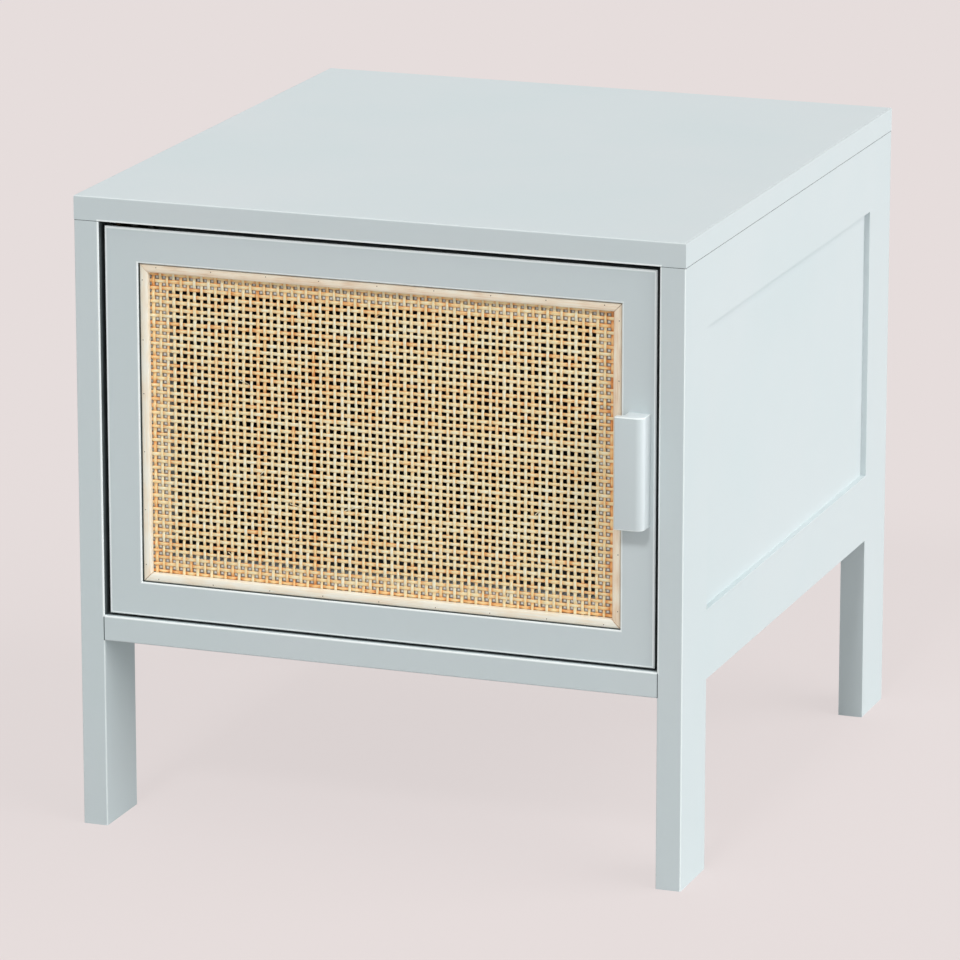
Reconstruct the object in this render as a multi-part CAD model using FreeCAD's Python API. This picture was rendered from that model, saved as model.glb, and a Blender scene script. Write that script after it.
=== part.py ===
"""A small cabinet side table: painted frame-and-panel sides on four legs, one inset door with a cane panel.

x runs from left to right, y from front to back, z up from the floor. Sizes are millimetres.
The origin is on the floor, in the middle of the table's outline, door handle included.
"""
import FreeCAD, Part
import math
import os

os.makedirs("parts", exist_ok=True)

# The whole table, without the handle.
overall_width = 440.0
overall_depth = 480.0
overall_height = 450.0

# Boards and legs of the carcass.
top_thickness = 17.0
top_edge_radius = 1.2
arris_width = 0.7
joint_arris_width = 0.4
side_thickness = 18.0
leg_depth = 52.0
bottom_thickness = 18.0
bottom_underside = 135.0
upper_rail_height = 50.0
lower_rail_height = 50.0

# The thin panel in each side, held in a groove of its legs and rails.
panel_recess = 4.0
panel_thickness = 9.0
panel_groove_depth = 8.0
panel_end_clearance = 1.0
tenon_end_clearance = 0.5
tenon_shoulder = 6.0

# The back board, screwed into rabbets of the rear legs.
back_thickness = 5.0
back_rabbet_width = 9.0
back_clearance = 0.4

# The door, inset between the legs.
door_thickness = 18.0
door_recess = 3.5
door_side_gap = 3.0
door_top_gap = 3.5
door_bottom_gap = 1.5
door_member_width = 43.0
door_face_width = 24.5
door_rabbet_depth = 7.0
door_tenon_length = 25.0
door_tenon_thickness = 6.0
door_tenon_shoulder = 6.5

# Cane webbing: flat strands crossing at right angles, clamped on the rabbet by a bead.
cane_strand_width = 2.4
cane_strand_thickness = 0.7
cane_column_pitch = 5.1
cane_row_pitch = 4.9
cane_edge_clearance = 0.8
bead_width = 6.4
bead_thickness = 4.4
bead_crown = 1.3

# The pull, an L-shaped bar that stands on the handle stile.
handle_height = 78.0
handle_base_width = 15.5
handle_lip_overhang = 5.2
handle_lip_thickness = 5.0
handle_projection = 15.0
handle_edge_inset = 4.0
handle_outer_radius = 6.0
handle_inner_radius = 3.0
handle_lip_radius = 1.0
handle_end_chamfer = 0.7

# Pivot hinges: one leaf let into the cabinet, one into the door's edge, and a pin through both.
pivot_from_door_edge = 8.0
pivot_behind_door_face = 6.5
leaf_length = 34.0
leaf_width = 8.0
leaf_thickness = 2.5
leaf_screw_spacing = 12.0
leaf_screw_end_inset = 6.0
pin_diameter = 4.0
pin_running_clearance = 0.1
pin_reach_into_door = 5.0
pin_end_clearance = 1.0

# Magnetic catch under the top, and its strike plate on the door.
catch_from_handle_edge = 89.0
catch_base_width = 46.0
catch_base_height = 4.0
catch_body_width = 27.0
catch_height = 13.0
catch_depth = 18.0
catch_gap = 0.3
magnet_width = 22.0
magnet_height = 7.0
magnet_depth = 12.0
magnet_below_top = 4.5
strike_width = 40.0
strike_height = 12.0
strike_thickness = 1.2
strike_below_door_top = 7.0

# Screws, dowels and cam fittings.
fit_clearance = 0.1
small_screw_diameter = 3.0
small_screw_head = 5.4
leaf_screw_length = 12.0
catch_screw_length = 14.0
catch_screw_inset = 4.5
strike_screw_length = 11.0
strike_screw_inset = 5.0
back_screw_length = 16.0
back_screw_end_inset = 30.0
back_screws_per_leg = 3
back_screws_in_bottom = 3
handle_screw_diameter = 4.0
handle_screw_head = 7.4
handle_screw_length = 27.0
handle_screw_spacing = 48.0
screw_tip_length = 3.0
screw_tip_diameter = 0.8
dowel_diameter = 8.0
dowel_length = 30.0
dowel_in_thin_board = 10.0
cam_diameter = 15.0
cam_length = 13.5
cam_from_joint = 24.0
cam_inset_on_rail = 60.0
cam_bolt_head_diameter = 7.0
cam_bolt_neck_diameter = 5.0
cam_bolt_thread_diameter = 6.0
cam_bolt_thread_length = 11.0
cam_bolt_head_length = 6.0
cam_bore_clearance = 0.3
fastener_sides = 12

# Places worked out from the sizes above.
handle_past_front = handle_projection - door_recess
front_y = handle_past_front - (overall_depth + handle_past_front) / 2
back_y = front_y + overall_depth
half_width = overall_width / 2
inner_half_width = half_width - side_thickness
top_underside = overall_height - top_thickness
bottom_top = bottom_underside + bottom_thickness
lower_rail_top = bottom_underside + lower_rail_height
upper_rail_bottom = top_underside - upper_rail_height
rail_front = front_y + leg_depth
rail_back = back_y - leg_depth

door_left = -inner_half_width + door_side_gap
door_right = inner_half_width - door_side_gap
door_bottom = bottom_top + door_bottom_gap
door_top = top_underside - door_top_gap
door_face = front_y + door_recess
door_back = door_face + door_thickness
door_middle_z = (door_bottom + door_top) / 2
opening_left = door_left + door_face_width
opening_right = door_right - door_face_width
opening_bottom = door_bottom + door_face_width
opening_top = door_top - door_face_width
ledge_face = door_face + door_rabbet_depth

pivot_x = door_left + pivot_from_door_edge
pivot_y = door_face + pivot_behind_door_face
catch_x = door_right - catch_from_handle_edge
catch_front = door_back + strike_thickness + catch_gap
handle_x = door_right - handle_edge_inset
upper_rail_middle = side_thickness / 2
bottom_middle_z = bottom_underside + bottom_thickness / 2

# Two places this close are the same place.
same_place = 1e-6

UP = FreeCAD.Vector(0, 0, 1)
DOWN = FreeCAD.Vector(0, 0, -1)
TO_FRONT = FreeCAD.Vector(0, -1, 0)


def point(x, y, z):
    """A point or direction."""
    return FreeCAD.Vector(x, y, z)


def block(x0, x1, y0, y1, z0, z1):
    """A board with its lowest and highest x, y and z."""
    return Part.makeBox(x1 - x0, y1 - y0, z1 - z0, point(x0, y0, z0))


def side_block(side, depth0, depth1, y0, y1, z0, z1):
    """A board in the left (-1) or right (1) side, its depths measured in from the outer face."""
    xs = sorted((side * (half_width - depth0), side * (half_width - depth1)))
    return block(xs[0], xs[1], y0, y1, z0, z1)


def rod(diameter, length, start, direction):
    """A round bar from a start point along a direction."""
    return Part.makeCylinder(diameter / 2, length, start, direction)


def join(shapes):
    """One solid from several that touch."""
    whole = shapes[0].fuse(shapes[1:])
    return whole.removeSplitter()


def save(name, shapes):
    """Write one node, a single solid or a group of separate ones."""
    shape = shapes[0] if len(shapes) == 1 else Part.makeCompound(shapes)
    shape.exportStep(f"parts/{name}.step")


def lies_on(value, low, high):
    """Whether both sides of a box lie at a value."""
    return abs(low - value) < same_place and abs(high - value) < same_place


def ease(shape, width, wanted):
    """Take the arris off the edges that a test picks by their boxes."""
    return shape.makeChamfer(width, [edge for edge in shape.Edges if wanted(edge.BoundBox)])


def outline_face(corners):
    """A flat face inside a closed line of corners."""
    return Part.Face(Part.makePolygon(corners + corners[:1]))


def faceted(stations, start, way):
    """A nearly round fastener with flat sides, from its (distance, radius) stations along a direction."""
    across = way.cross(UP) if abs(way.z) < 0.5 else point(1, 0, 0)
    other = way.cross(across)
    rings = []
    for distance, radius in stations:
        ring = []
        for i in range(fastener_sides):
            turn = 2 * math.pi * i / fastener_sides
            ring.append(start + way * distance + (across * math.cos(turn) + other * math.sin(turn)) * radius)
        rings.append(ring)
    faces = [outline_face(rings[0]), outline_face(rings[-1])]
    for near, far in zip(rings, rings[1:]):
        for i in range(fastener_sides):
            after = (i + 1) % fastener_sides
            faces.append(outline_face([near[i], near[after], far[after], far[i]]))
    return Part.Solid(Part.Shell(faces))


def peg(diameter, length, start, way):
    """A straight fastener's body."""
    return faceted([(0, diameter / 2), (length, diameter / 2)], start, way)


def wood_screw(diameter, head, length, top, direction, spread=0.0):
    """A countersunk screw with its head's top at a point; spread makes the hole that it sits in."""
    shank_r = diameter / 2 + spread
    head_depth = (head - diameter) / 2
    tip_start = length + spread - screw_tip_length
    stations = [(0, head / 2 + spread), (head_depth, shank_r), (tip_start, shank_r)]
    stations.append((length + spread, screw_tip_diameter / 2 + spread))
    return faceted(stations, top, direction)


def drill(shape, places, maker):
    """Cut the hole of every screw or dowel in a list of places."""
    for top, direction in places:
        shape = shape.cut(maker(top, direction, fit_clearance))
    return shape


# ---- fasteners: where each kind sits, and its solid -------------------------------------------


def leaf_screw(top, direction, spread=0.0):
    """One of the screws of a hinge leaf."""
    return wood_screw(small_screw_diameter, small_screw_head, leaf_screw_length, top, direction, spread)


def leaf_screw_places(z, direction):
    """The two screws along a hinge leaf whose face is at a height."""
    far = pivot_x + leaf_length - leaf_width / 2 - leaf_screw_end_inset
    xs = (far - leaf_screw_spacing, far)
    return [(point(x, pivot_y, z), direction) for x in xs]


def catch_screw(top, direction, spread=0.0):
    """One of the screws of the magnetic catch."""
    return wood_screw(small_screw_diameter, small_screw_head, catch_screw_length, top, direction, spread)


def catch_screw_places():
    """The two screws in the catch's ears, pointing up into the top."""
    reach = catch_base_width / 2 - catch_screw_inset
    middle_y = catch_front + catch_depth / 2
    z = top_underside - catch_base_height
    return [(point(catch_x + step * reach, middle_y, z), UP) for step in (-1, 1)]


def strike_screw(top, direction, spread=0.0):
    """One of the screws of the strike plate."""
    return wood_screw(small_screw_diameter, small_screw_head, strike_screw_length, top, direction, spread)


def strike_screw_places():
    """The two screws of the strike plate, pointing into the door from behind."""
    reach = strike_width / 2 - strike_screw_inset
    z = door_top - strike_below_door_top
    return [(point(catch_x + step * reach, door_back + strike_thickness, z), TO_FRONT) for step in (-1, 1)]


def handle_screw(top, direction, spread=0.0):
    """One of the screws that hold the pull from behind the door."""
    return wood_screw(handle_screw_diameter, handle_screw_head, handle_screw_length, top, direction, spread)


def handle_screw_places():
    """The two screws behind the pull."""
    x = handle_x - handle_base_width / 2
    half = handle_screw_spacing / 2
    return [(point(x, door_back, door_middle_z + step * half), TO_FRONT) for step in (-1, 1)]


def back_screw(top, direction, spread=0.0):
    """One of the screws of the back board."""
    return wood_screw(small_screw_diameter, small_screw_head, back_screw_length, top, direction, spread)


def back_screw_places():
    """Screws down both rear legs, and a row into the bottom board's rear edge."""
    places = []
    low = bottom_top + back_screw_end_inset
    high = top_underside - back_screw_end_inset
    step_z = (high - low) / (back_screws_per_leg - 1)
    x = inner_half_width + back_rabbet_width / 2
    for side in (-1, 1):
        for i in range(back_screws_per_leg):
            places.append((point(side * x, back_y, low + i * step_z), TO_FRONT))
    step_x = 2 * inner_half_width / (back_screws_in_bottom + 1)
    for i in range(back_screws_in_bottom):
        x = -inner_half_width + (i + 1) * step_x
        places.append((point(x, back_y, bottom_middle_z), TO_FRONT))
    return places


def dowel(start, direction, spread=0.0):
    """One of the dowels of the carcass; its hole is a little longer and wider."""
    start = start - direction * spread
    return peg(dowel_diameter + 2 * spread, dowel_length + 2 * spread, start, direction)


def dowel_places():
    """A dowel from each leg into the top, and one from each leg into the bottom board."""
    places = []
    for side in (-1, 1):
        into_bottom = point(-side, 0, 0)
        for y in (front_y + leg_depth / 2, back_y - leg_depth / 2):
            top_x = side * (half_width - side_thickness / 2)
            places.append((point(top_x, y, top_underside + dowel_in_thin_board), DOWN))
            bottom_x = side * (inner_half_width + dowel_in_thin_board)
            places.append((point(bottom_x, y, bottom_middle_z), into_bottom))
    return places


def cam_places():
    """Each cam joint: the point on the bolt's axis where the boards meet, the bolt's way, the cam's way."""
    places = []
    for side in (-1, 1):
        inwards = point(-side, 0, 0)
        for y in (rail_front + cam_inset_on_rail, rail_back - cam_inset_on_rail):
            top_x = side * (half_width - upper_rail_middle)
            places.append((point(top_x, y, top_underside), DOWN, inwards))
            places.append((point(side * inner_half_width, y, bottom_middle_z), inwards, DOWN))
    return places


def cam_face(meeting, bolt_way, cam_way):
    """The middle of a cam's outer face, which is flush with its board."""
    half_board = side_thickness / 2 if bolt_way.z else bottom_thickness / 2
    return meeting + bolt_way * cam_from_joint + cam_way * half_board


def cam_solid(meeting, bolt_way, cam_way, spread=0.0):
    """A round cam lock, bored for the bolt's head; spread makes the hole that it sits in."""
    face = cam_face(meeting, bolt_way, cam_way)
    lock = peg(cam_diameter + 2 * spread, cam_length + spread, face, cam_way * -1)
    if spread:
        return lock
    bore = cam_bolt_head_diameter + 2 * cam_bore_clearance
    reach = cam_from_joint + cam_bolt_head_length / 2 + cam_bore_clearance
    return lock.cut(peg(bore, reach, meeting, bolt_way))


def cam_bolt(meeting, bolt_way, spread=0.0):
    """A cam's bolt: thread in one board, neck and round head in the other."""
    thread_length = cam_bolt_thread_length + spread
    thread_start = meeting - bolt_way * thread_length
    neck_length = cam_from_joint - cam_bolt_head_length / 2
    head_start = meeting + bolt_way * neck_length
    thread = peg(cam_bolt_thread_diameter + 2 * spread, thread_length, thread_start, bolt_way)
    if spread:
        bore = cam_bolt_head_diameter + 2 * cam_bore_clearance
        reach = cam_from_joint + cam_bolt_head_length / 2 + cam_bore_clearance
        return join([thread, peg(bore, reach, meeting, bolt_way)])
    neck = peg(cam_bolt_neck_diameter, neck_length, meeting, bolt_way)
    head = peg(cam_bolt_head_diameter, cam_bolt_head_length, head_start, bolt_way)
    return join([thread, neck, head])


def bore_cams(shape):
    """Cut the holes of every cam lock and its bolt."""
    for meeting, bolt_way, cam_way in cam_places():
        shape = shape.cut(cam_bolt(meeting, bolt_way, fit_clearance))
        shape = shape.cut(cam_solid(meeting, bolt_way, cam_way, fit_clearance))
    return shape


# ---- carcass --------------------------------------------------------------------------------


def leg(side, at_front):
    """A leg, grooved on its inner edge for the side panel and the rails' tenons."""
    y0 = front_y if at_front else rail_back
    y1 = y0 + leg_depth
    inner_x = side * inner_half_width
    outer_y, rail_y = (y0, y1) if at_front else (y1, y0)

    def long_arris(box):
        return box.ZLength > leg_depth and lies_on(outer_y, box.YMin, box.YMax)

    def under_top(box):
        inside = lies_on(inner_x, box.XMin, box.XMax) or lies_on(rail_y, box.YMin, box.YMax)
        return lies_on(top_underside, box.ZMin, box.ZMax) and not inside

    groove_y = (y1 - panel_groove_depth, y1) if at_front else (y0, y0 + panel_groove_depth)
    groove_out = (panel_recess, panel_recess + panel_thickness)
    post = side_block(side, 0, side_thickness, y0, y1, 0, top_underside)
    post = ease(ease(post, arris_width, long_arris), joint_arris_width, under_top)
    groove_floor = bottom_underside + tenon_shoulder
    post = post.cut(side_block(side, *groove_out, *groove_y, groove_floor, top_underside))
    if not at_front:
        rabbet_out = (side_thickness - back_rabbet_width, side_thickness)
        rabbet_y = (back_y - back_thickness, back_y)
        post = post.cut(side_block(side, *rabbet_out, *rabbet_y, bottom_underside, top_underside))
        post = drill(post, back_screw_places(), back_screw)
    return drill(post, dowel_places(), dowel)


def rail(side, z0, z1, groove_on_top):
    """A side rail with a stub tenon at each end and a groove along the edge that meets the panel."""
    out = (panel_recess, panel_recess + panel_thickness)
    tenon = panel_groove_depth - tenon_end_clearance
    outer_x = side * half_width
    far_z, width = (z0, arris_width) if groove_on_top else (z1, joint_arris_width)

    def outer_arris(box):
        return lies_on(outer_x, box.XMin, box.XMax) and lies_on(far_z, box.ZMin, box.ZMax)

    if groove_on_top:
        tenon_z = (z0 + tenon_shoulder, z1 - panel_groove_depth)
        groove_z = (z1 - panel_groove_depth, z1)
    else:
        tenon_z = (z0 + panel_groove_depth, z1)
        groove_z = (z0, z0 + panel_groove_depth)
    bar = side_block(side, 0, side_thickness, rail_front, rail_back, z0, z1)
    bar = ease(bar, width, outer_arris)
    bar = bar.cut(side_block(side, *out, rail_front, rail_back, *groove_z))
    bar = join([bar, side_block(side, *out, rail_front - tenon, rail_back + tenon, *tenon_z)])
    return bore_cams(bar)


def side_panel(side):
    """The thin panel, its edges in the grooves all round."""
    reach = panel_groove_depth - panel_end_clearance
    out = (panel_recess, panel_recess + panel_thickness)
    y_range = (rail_front - reach, rail_back + reach)
    return side_block(side, *out, *y_range, lower_rail_top - reach, upper_rail_bottom + reach)


def top_board():
    """The top, its upper edges eased, drilled and let in from below."""
    board = block(-half_width, half_width, front_y, back_y, top_underside, overall_height)
    eased = [edge for edge in board.Edges if edge.BoundBox.ZMin > top_underside + top_edge_radius]
    board = board.makeFillet(top_edge_radius, eased)
    board = drill(board, dowel_places(), dowel)
    board = bore_cams(board)
    board = board.cut(leaf_solid(top_underside, leaf_thickness, fit_clearance))
    board = drill(board, leaf_screw_places(top_underside, UP), leaf_screw)
    return drill(board, catch_screw_places(), catch_screw)


def bottom_board():
    """The bottom, its front edge the rail that shows below the door."""
    rear = back_y - back_thickness
    board = block(-inner_half_width, inner_half_width, front_y, rear, bottom_underside, bottom_top)

    def front_arris(box):
        return lies_on(front_y, box.YMin, box.YMax) and box.XLength > inner_half_width

    board = ease(board, arris_width, front_arris)
    board = drill(board, dowel_places(), dowel)
    board = bore_cams(board)
    board = drill(board, back_screw_places(), back_screw)
    board = board.cut(leaf_solid(bottom_top - leaf_thickness, leaf_thickness, fit_clearance))
    return drill(board, leaf_screw_places(bottom_top, DOWN), leaf_screw)


def back_board():
    """The back, in the rear legs' rabbets and over the bottom board's rear edge."""
    reach = inner_half_width + back_rabbet_width - back_clearance
    y_range = (back_y - back_thickness, back_y)
    board = block(-reach, reach, *y_range, bottom_underside, top_underside - back_clearance)
    return drill(board, back_screw_places(), back_screw)


# ---- pivot hinges ---------------------------------------------------------------------------


def leaf_solid(z, thickness, spread=0.0):
    """A hinge leaf, round about its pin, from a height up; spread makes the recess that it sits in."""
    half = leaf_width / 2 + spread
    far_x = pivot_x - leaf_width / 2 + leaf_length + spread
    eye = rod(2 * half, thickness, point(pivot_x, pivot_y, z), UP)
    strip = block(pivot_x, far_x, pivot_y - half, pivot_y + half, z, z + thickness)
    return join([eye, strip])


def cabinet_leaf(z, screw_z, direction):
    """A leaf let into the cabinet; its pin is pressed in its eye."""
    leaf = leaf_solid(z, leaf_thickness)
    leaf = leaf.cut(rod(pin_diameter, leaf_thickness, point(pivot_x, pivot_y, z), UP))
    return drill(leaf, leaf_screw_places(screw_z, direction), leaf_screw)


def door_leaf(z, screw_z, direction):
    """A leaf let into the door's edge, which turns on the pin."""
    leaf = leaf_solid(z, leaf_thickness)
    eye = pin_diameter + 2 * pin_running_clearance
    leaf = leaf.cut(rod(eye, leaf_thickness, point(pivot_x, pivot_y, z), UP))
    return drill(leaf, leaf_screw_places(screw_z, direction), leaf_screw)


def hinge_pins():
    """The upper and the lower pin, from the cabinet's leaf through the door's leaf into the stile."""
    upper_length = leaf_thickness + door_top_gap + leaf_thickness + pin_reach_into_door
    lower_length = leaf_thickness + door_bottom_gap + leaf_thickness + pin_reach_into_door
    upper = rod(pin_diameter, upper_length, point(pivot_x, pivot_y, top_underside + leaf_thickness), DOWN)
    lower = rod(pin_diameter, lower_length, point(pivot_x, pivot_y, bottom_top - leaf_thickness), UP)
    return [upper, lower]


def pin_holes():
    """The clearance holes for both pins in the hinge stile."""
    width = pin_diameter + 2 * pin_running_clearance
    depth = leaf_thickness + pin_reach_into_door + pin_end_clearance
    upper = rod(width, depth, point(pivot_x, pivot_y, door_top), DOWN)
    lower = rod(width, depth, point(pivot_x, pivot_y, door_bottom), UP)
    return [upper, lower]


def thrust_washer():
    """The washer that carries the door's weight on the lower hinge."""
    ring = rod(leaf_width, door_bottom_gap, point(pivot_x, pivot_y, bottom_top), UP)
    return ring.cut(rod(pin_diameter, door_bottom_gap, point(pivot_x, pivot_y, bottom_top), UP))


# ---- catch ----------------------------------------------------------------------------------


def catch_housing():
    """A moulded housing with two ears, and a pocket for the magnet at its front."""
    rear = catch_front + catch_depth
    half_base = catch_base_width / 2
    half_body = catch_body_width / 2
    ears_x = (catch_x - half_base, catch_x + half_base)
    body_x = (catch_x - half_body, catch_x + half_body)
    ears = block(*ears_x, catch_front, rear, top_underside - catch_base_height, top_underside)
    body = block(*body_x, catch_front, rear, top_underside - catch_height, top_underside)
    housing = join([ears, body]).cut(catch_magnet())
    return drill(housing, catch_screw_places(), catch_screw)


def catch_magnet():
    """The magnet, flush with the front of its housing."""
    half = magnet_width / 2
    z1 = top_underside - magnet_below_top
    y_range = (catch_front, catch_front + magnet_depth)
    return block(catch_x - half, catch_x + half, *y_range, z1 - magnet_height, z1)


def strike_plate():
    """The steel plate on the back of the door that the magnet holds."""
    half = strike_width / 2
    z = door_top - strike_below_door_top
    z_range = (z - strike_height / 2, z + strike_height / 2)
    plate = block(catch_x - half, catch_x + half, door_back, door_back + strike_thickness, *z_range)
    return drill(plate, strike_screw_places(), strike_screw)


# ---- door -----------------------------------------------------------------------------------


def door_rabbet():
    """The wide opening in the door's face, down to the ledge that carries the cane."""
    return block(opening_left, opening_right, door_face, ledge_face, opening_bottom, opening_top)


def ease_rabbet(shape):
    """Take the arris off the rabbet, where it meets the door's face."""
    def on_arris(box):
        upright = lies_on(opening_left, box.XMin, box.XMax) or lies_on(opening_right, box.XMin, box.XMax)
        level = lies_on(opening_bottom, box.ZMin, box.ZMax) or lies_on(opening_top, box.ZMin, box.ZMax)
        return lies_on(door_face, box.YMin, box.YMax) and (upright or level)

    return ease(shape, arris_width, on_arris)


def tenon_range():
    """The y range of the door's tenons, in the middle of the ledge's thickness."""
    middle = (ledge_face + door_back) / 2
    return middle - door_tenon_thickness / 2, middle + door_tenon_thickness / 2


def door_rail(z0, z1, outer_z):
    """A door rail with a tenon at each end, rabbeted along its inner edge; outer_z is its outer edge."""
    x0 = door_left + door_member_width
    x1 = door_right - door_member_width
    bar = block(x0, x1, door_face, door_back, z0, z1)

    def outer_arris(box):
        return lies_on(door_face, box.YMin, box.YMax) and lies_on(outer_z, box.ZMin, box.ZMax)

    bar = ease(bar, arris_width, outer_arris)
    bar = ease_rabbet(bar.cut(door_rabbet()))
    low = z0 + door_tenon_shoulder
    high = z1 - door_tenon_shoulder
    tenon = block(x0 - door_tenon_length, x1 + door_tenon_length, *tenon_range(), low, high)
    return join([bar, tenon])


def door_stile(x0, x1, inner_way):
    """A door stile, mortised for both rails and rabbeted along its inner edge; inner_way is 1 or -1."""
    inner_x = x1 if inner_way > 0 else x0
    post = block(x0, x1, door_face, door_back, door_bottom, door_top)

    def outer_arris(box):
        return lies_on(door_face, box.YMin, box.YMax) and not lies_on(inner_x, box.XMin, box.XMax)

    post = ease(post, arris_width, outer_arris)
    post = ease_rabbet(post.cut(door_rabbet()))
    deep_x = inner_x - inner_way * (door_tenon_length + tenon_end_clearance)
    xs = sorted((inner_x, deep_x))
    for rail_z in (door_bottom, door_top - door_member_width):
        low = rail_z + door_tenon_shoulder
        high = rail_z + door_member_width - door_tenon_shoulder
        post = post.cut(block(xs[0], xs[1], *tenon_range(), low, high))
    return post


def hinge_stile():
    """The left stile, with the recesses and holes of both hinges."""
    post = door_stile(door_left, door_left + door_member_width, 1)
    post = post.cut(leaf_solid(door_top - leaf_thickness, leaf_thickness, fit_clearance))
    post = post.cut(leaf_solid(door_bottom, leaf_thickness, fit_clearance))
    for hole in pin_holes():
        post = post.cut(hole)
    post = drill(post, leaf_screw_places(door_top, DOWN), leaf_screw)
    return drill(post, leaf_screw_places(door_bottom, UP), leaf_screw)


def handle_stile():
    """The right stile, drilled for the pull."""
    post = door_stile(door_right - door_member_width, door_right, -1)
    return drill(post, handle_screw_places(), handle_screw)


def strand_middles(low, high, pitch):
    """The middle lines of the strands that fill an opening, evenly about its middle."""
    room = high - low - 2 * cane_edge_clearance - cane_strand_width
    count = int(room / pitch) + 1
    middle = (low + high) / 2
    return [middle + (i - (count - 1) / 2) * pitch for i in range(count)]


def cane_columns():
    """The upright strands, the front layer of the webbing."""
    half = cane_strand_width / 2
    y1 = ledge_face - cane_strand_thickness
    y0 = y1 - cane_strand_thickness
    z_range = (opening_bottom + cane_edge_clearance, opening_top - cane_edge_clearance)
    xs = strand_middles(opening_left, opening_right, cane_column_pitch)
    return [block(x - half, x + half, y0, y1, *z_range) for x in xs]


def cane_rows():
    """The level strands, the back layer of the webbing, on the ledge."""
    half = cane_strand_width / 2
    y0 = ledge_face - cane_strand_thickness
    x_range = (opening_left + cane_edge_clearance, opening_right - cane_edge_clearance)
    zs = strand_middles(opening_bottom, opening_top, cane_row_pitch)
    return [block(*x_range, y0, ledge_face, z - half, z + half) for z in zs]


def bead_section(across, outer):
    """The crowned section of the bead; outer is its outer edge, and across points into the opening."""
    back = ledge_face - 2 * cane_strand_thickness
    shoulder = back - (bead_thickness - bead_crown)
    crown = back - bead_thickness

    def place(inwards, y):
        return outer + across * inwards + point(0, y, 0)

    corners = [place(0, shoulder), place(0, back), place(bead_width, back), place(bead_width, shoulder)]
    lines = [Part.makeLine(corners[i], corners[i + 1]) for i in range(3)]
    crowned = Part.Arc(corners[3], place(bead_width / 2, crown), corners[0]).toShape()
    return Part.Face(Part.Wire(lines + [crowned]))


def mitre_waste(corner, outward, across):
    """The wedge that a 45 degree cut through a corner of the opening takes off a bead."""
    reach = 3 * bead_width
    base = corner + point(0, door_face, 0)
    inwards = across - outward
    corners = [base - inwards * reach, base + inwards * reach, base + (across + outward) * reach]
    return outline_face(corners).extrude(point(0, door_thickness, 0))


def bead(start, end, across):
    """A bead along one edge of the opening, mitred at both ends."""
    run = end - start
    way = run / run.Length
    strip = bead_section(across, start).extrude(run)
    for corner, outward in ((start, way * -1), (end, way)):
        strip = strip.cut(mitre_waste(corner, outward, across))
    return strip


def handle():
    """The pull: a block on the stile with a lip over the finger space on its left."""
    right = handle_x
    base_left = right - handle_base_width
    lip_left = base_left - handle_lip_overhang
    front = door_face - handle_projection
    lip_back = front + handle_lip_thickness
    z0 = door_middle_z - handle_height / 2
    outer, inner, lip = handle_outer_radius, handle_inner_radius, handle_lip_radius
    diagonal = 0.5 ** 0.5

    def arc(centre_x, centre_y, radius, first, last):
        """A quarter round between two directions given as (x, y) units."""
        ends = [point(centre_x + radius * a, centre_y + radius * b, z0) for a, b in (first, last)]
        mid = point(
            centre_x + radius * diagonal * (first[0] + last[0]),
            centre_y + radius * diagonal * (first[1] + last[1]),
            z0,
        )
        return Part.Arc(ends[0], mid, ends[1]).toShape()

    corner = arc(right - outer, front + outer, outer, (1, 0), (0, -1))
    tip_front = arc(lip_left + lip, front + lip, lip, (0, -1), (-1, 0))
    tip_back = arc(lip_left + lip, lip_back - lip, lip, (-1, 0), (0, 1))
    throat = arc(base_left - inner, lip_back + inner, inner, (0, -1), (1, 0))
    pieces = [corner, tip_front, tip_back, throat]
    edges = []
    cursor = point(right, door_face, z0)
    for piece in pieces:
        ends = [piece.valueAt(piece.FirstParameter), piece.valueAt(piece.LastParameter)]
        if ends[0].distanceToPoint(cursor) > ends[1].distanceToPoint(cursor):
            ends.reverse()
        if ends[0].distanceToPoint(cursor) > same_place:
            edges.append(Part.makeLine(cursor, ends[0]))
        edges.append(piece)
        cursor = ends[1]
    foot = point(base_left, door_face, z0)
    edges.append(Part.makeLine(cursor, foot))
    edges.append(Part.makeLine(foot, point(right, door_face, z0)))
    bar = Part.Face(Part.Wire(edges)).extrude(UP * handle_height)
    ends = [edge for edge in bar.Edges if is_end_edge(edge, z0)]
    bar = bar.makeChamfer(handle_end_chamfer, ends)
    return drill(bar, handle_screw_places(), handle_screw)


def is_end_edge(edge, z0):
    """Whether an edge of the pull runs round one of its ends, away from the door."""
    box = edge.BoundBox
    at_end = lies_on(z0, box.ZMin, box.ZMax) or lies_on(z0 + handle_height, box.ZMin, box.ZMax)
    return at_end and box.YMin < door_face - same_place


# ---- write every node -----------------------------------------------------------------------


def write_carcass():
    """The boards and legs that stand still."""
    save("top_panel", [top_board()])
    save("bottom_panel", [bottom_board()])
    save("back_panel", [back_board()])
    for name, side in (("left", -1), ("right", 1)):
        save(f"{name}_front_leg", [leg(side, True)])
        save(f"{name}_rear_leg", [leg(side, False)])
        save(f"{name}_upper_rail", [rail(side, upper_rail_bottom, top_underside, False)])
        save(f"{name}_lower_rail", [rail(side, bottom_underside, lower_rail_top, True)])
        save(f"{name}_side_panel", [side_panel(side)])


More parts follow.
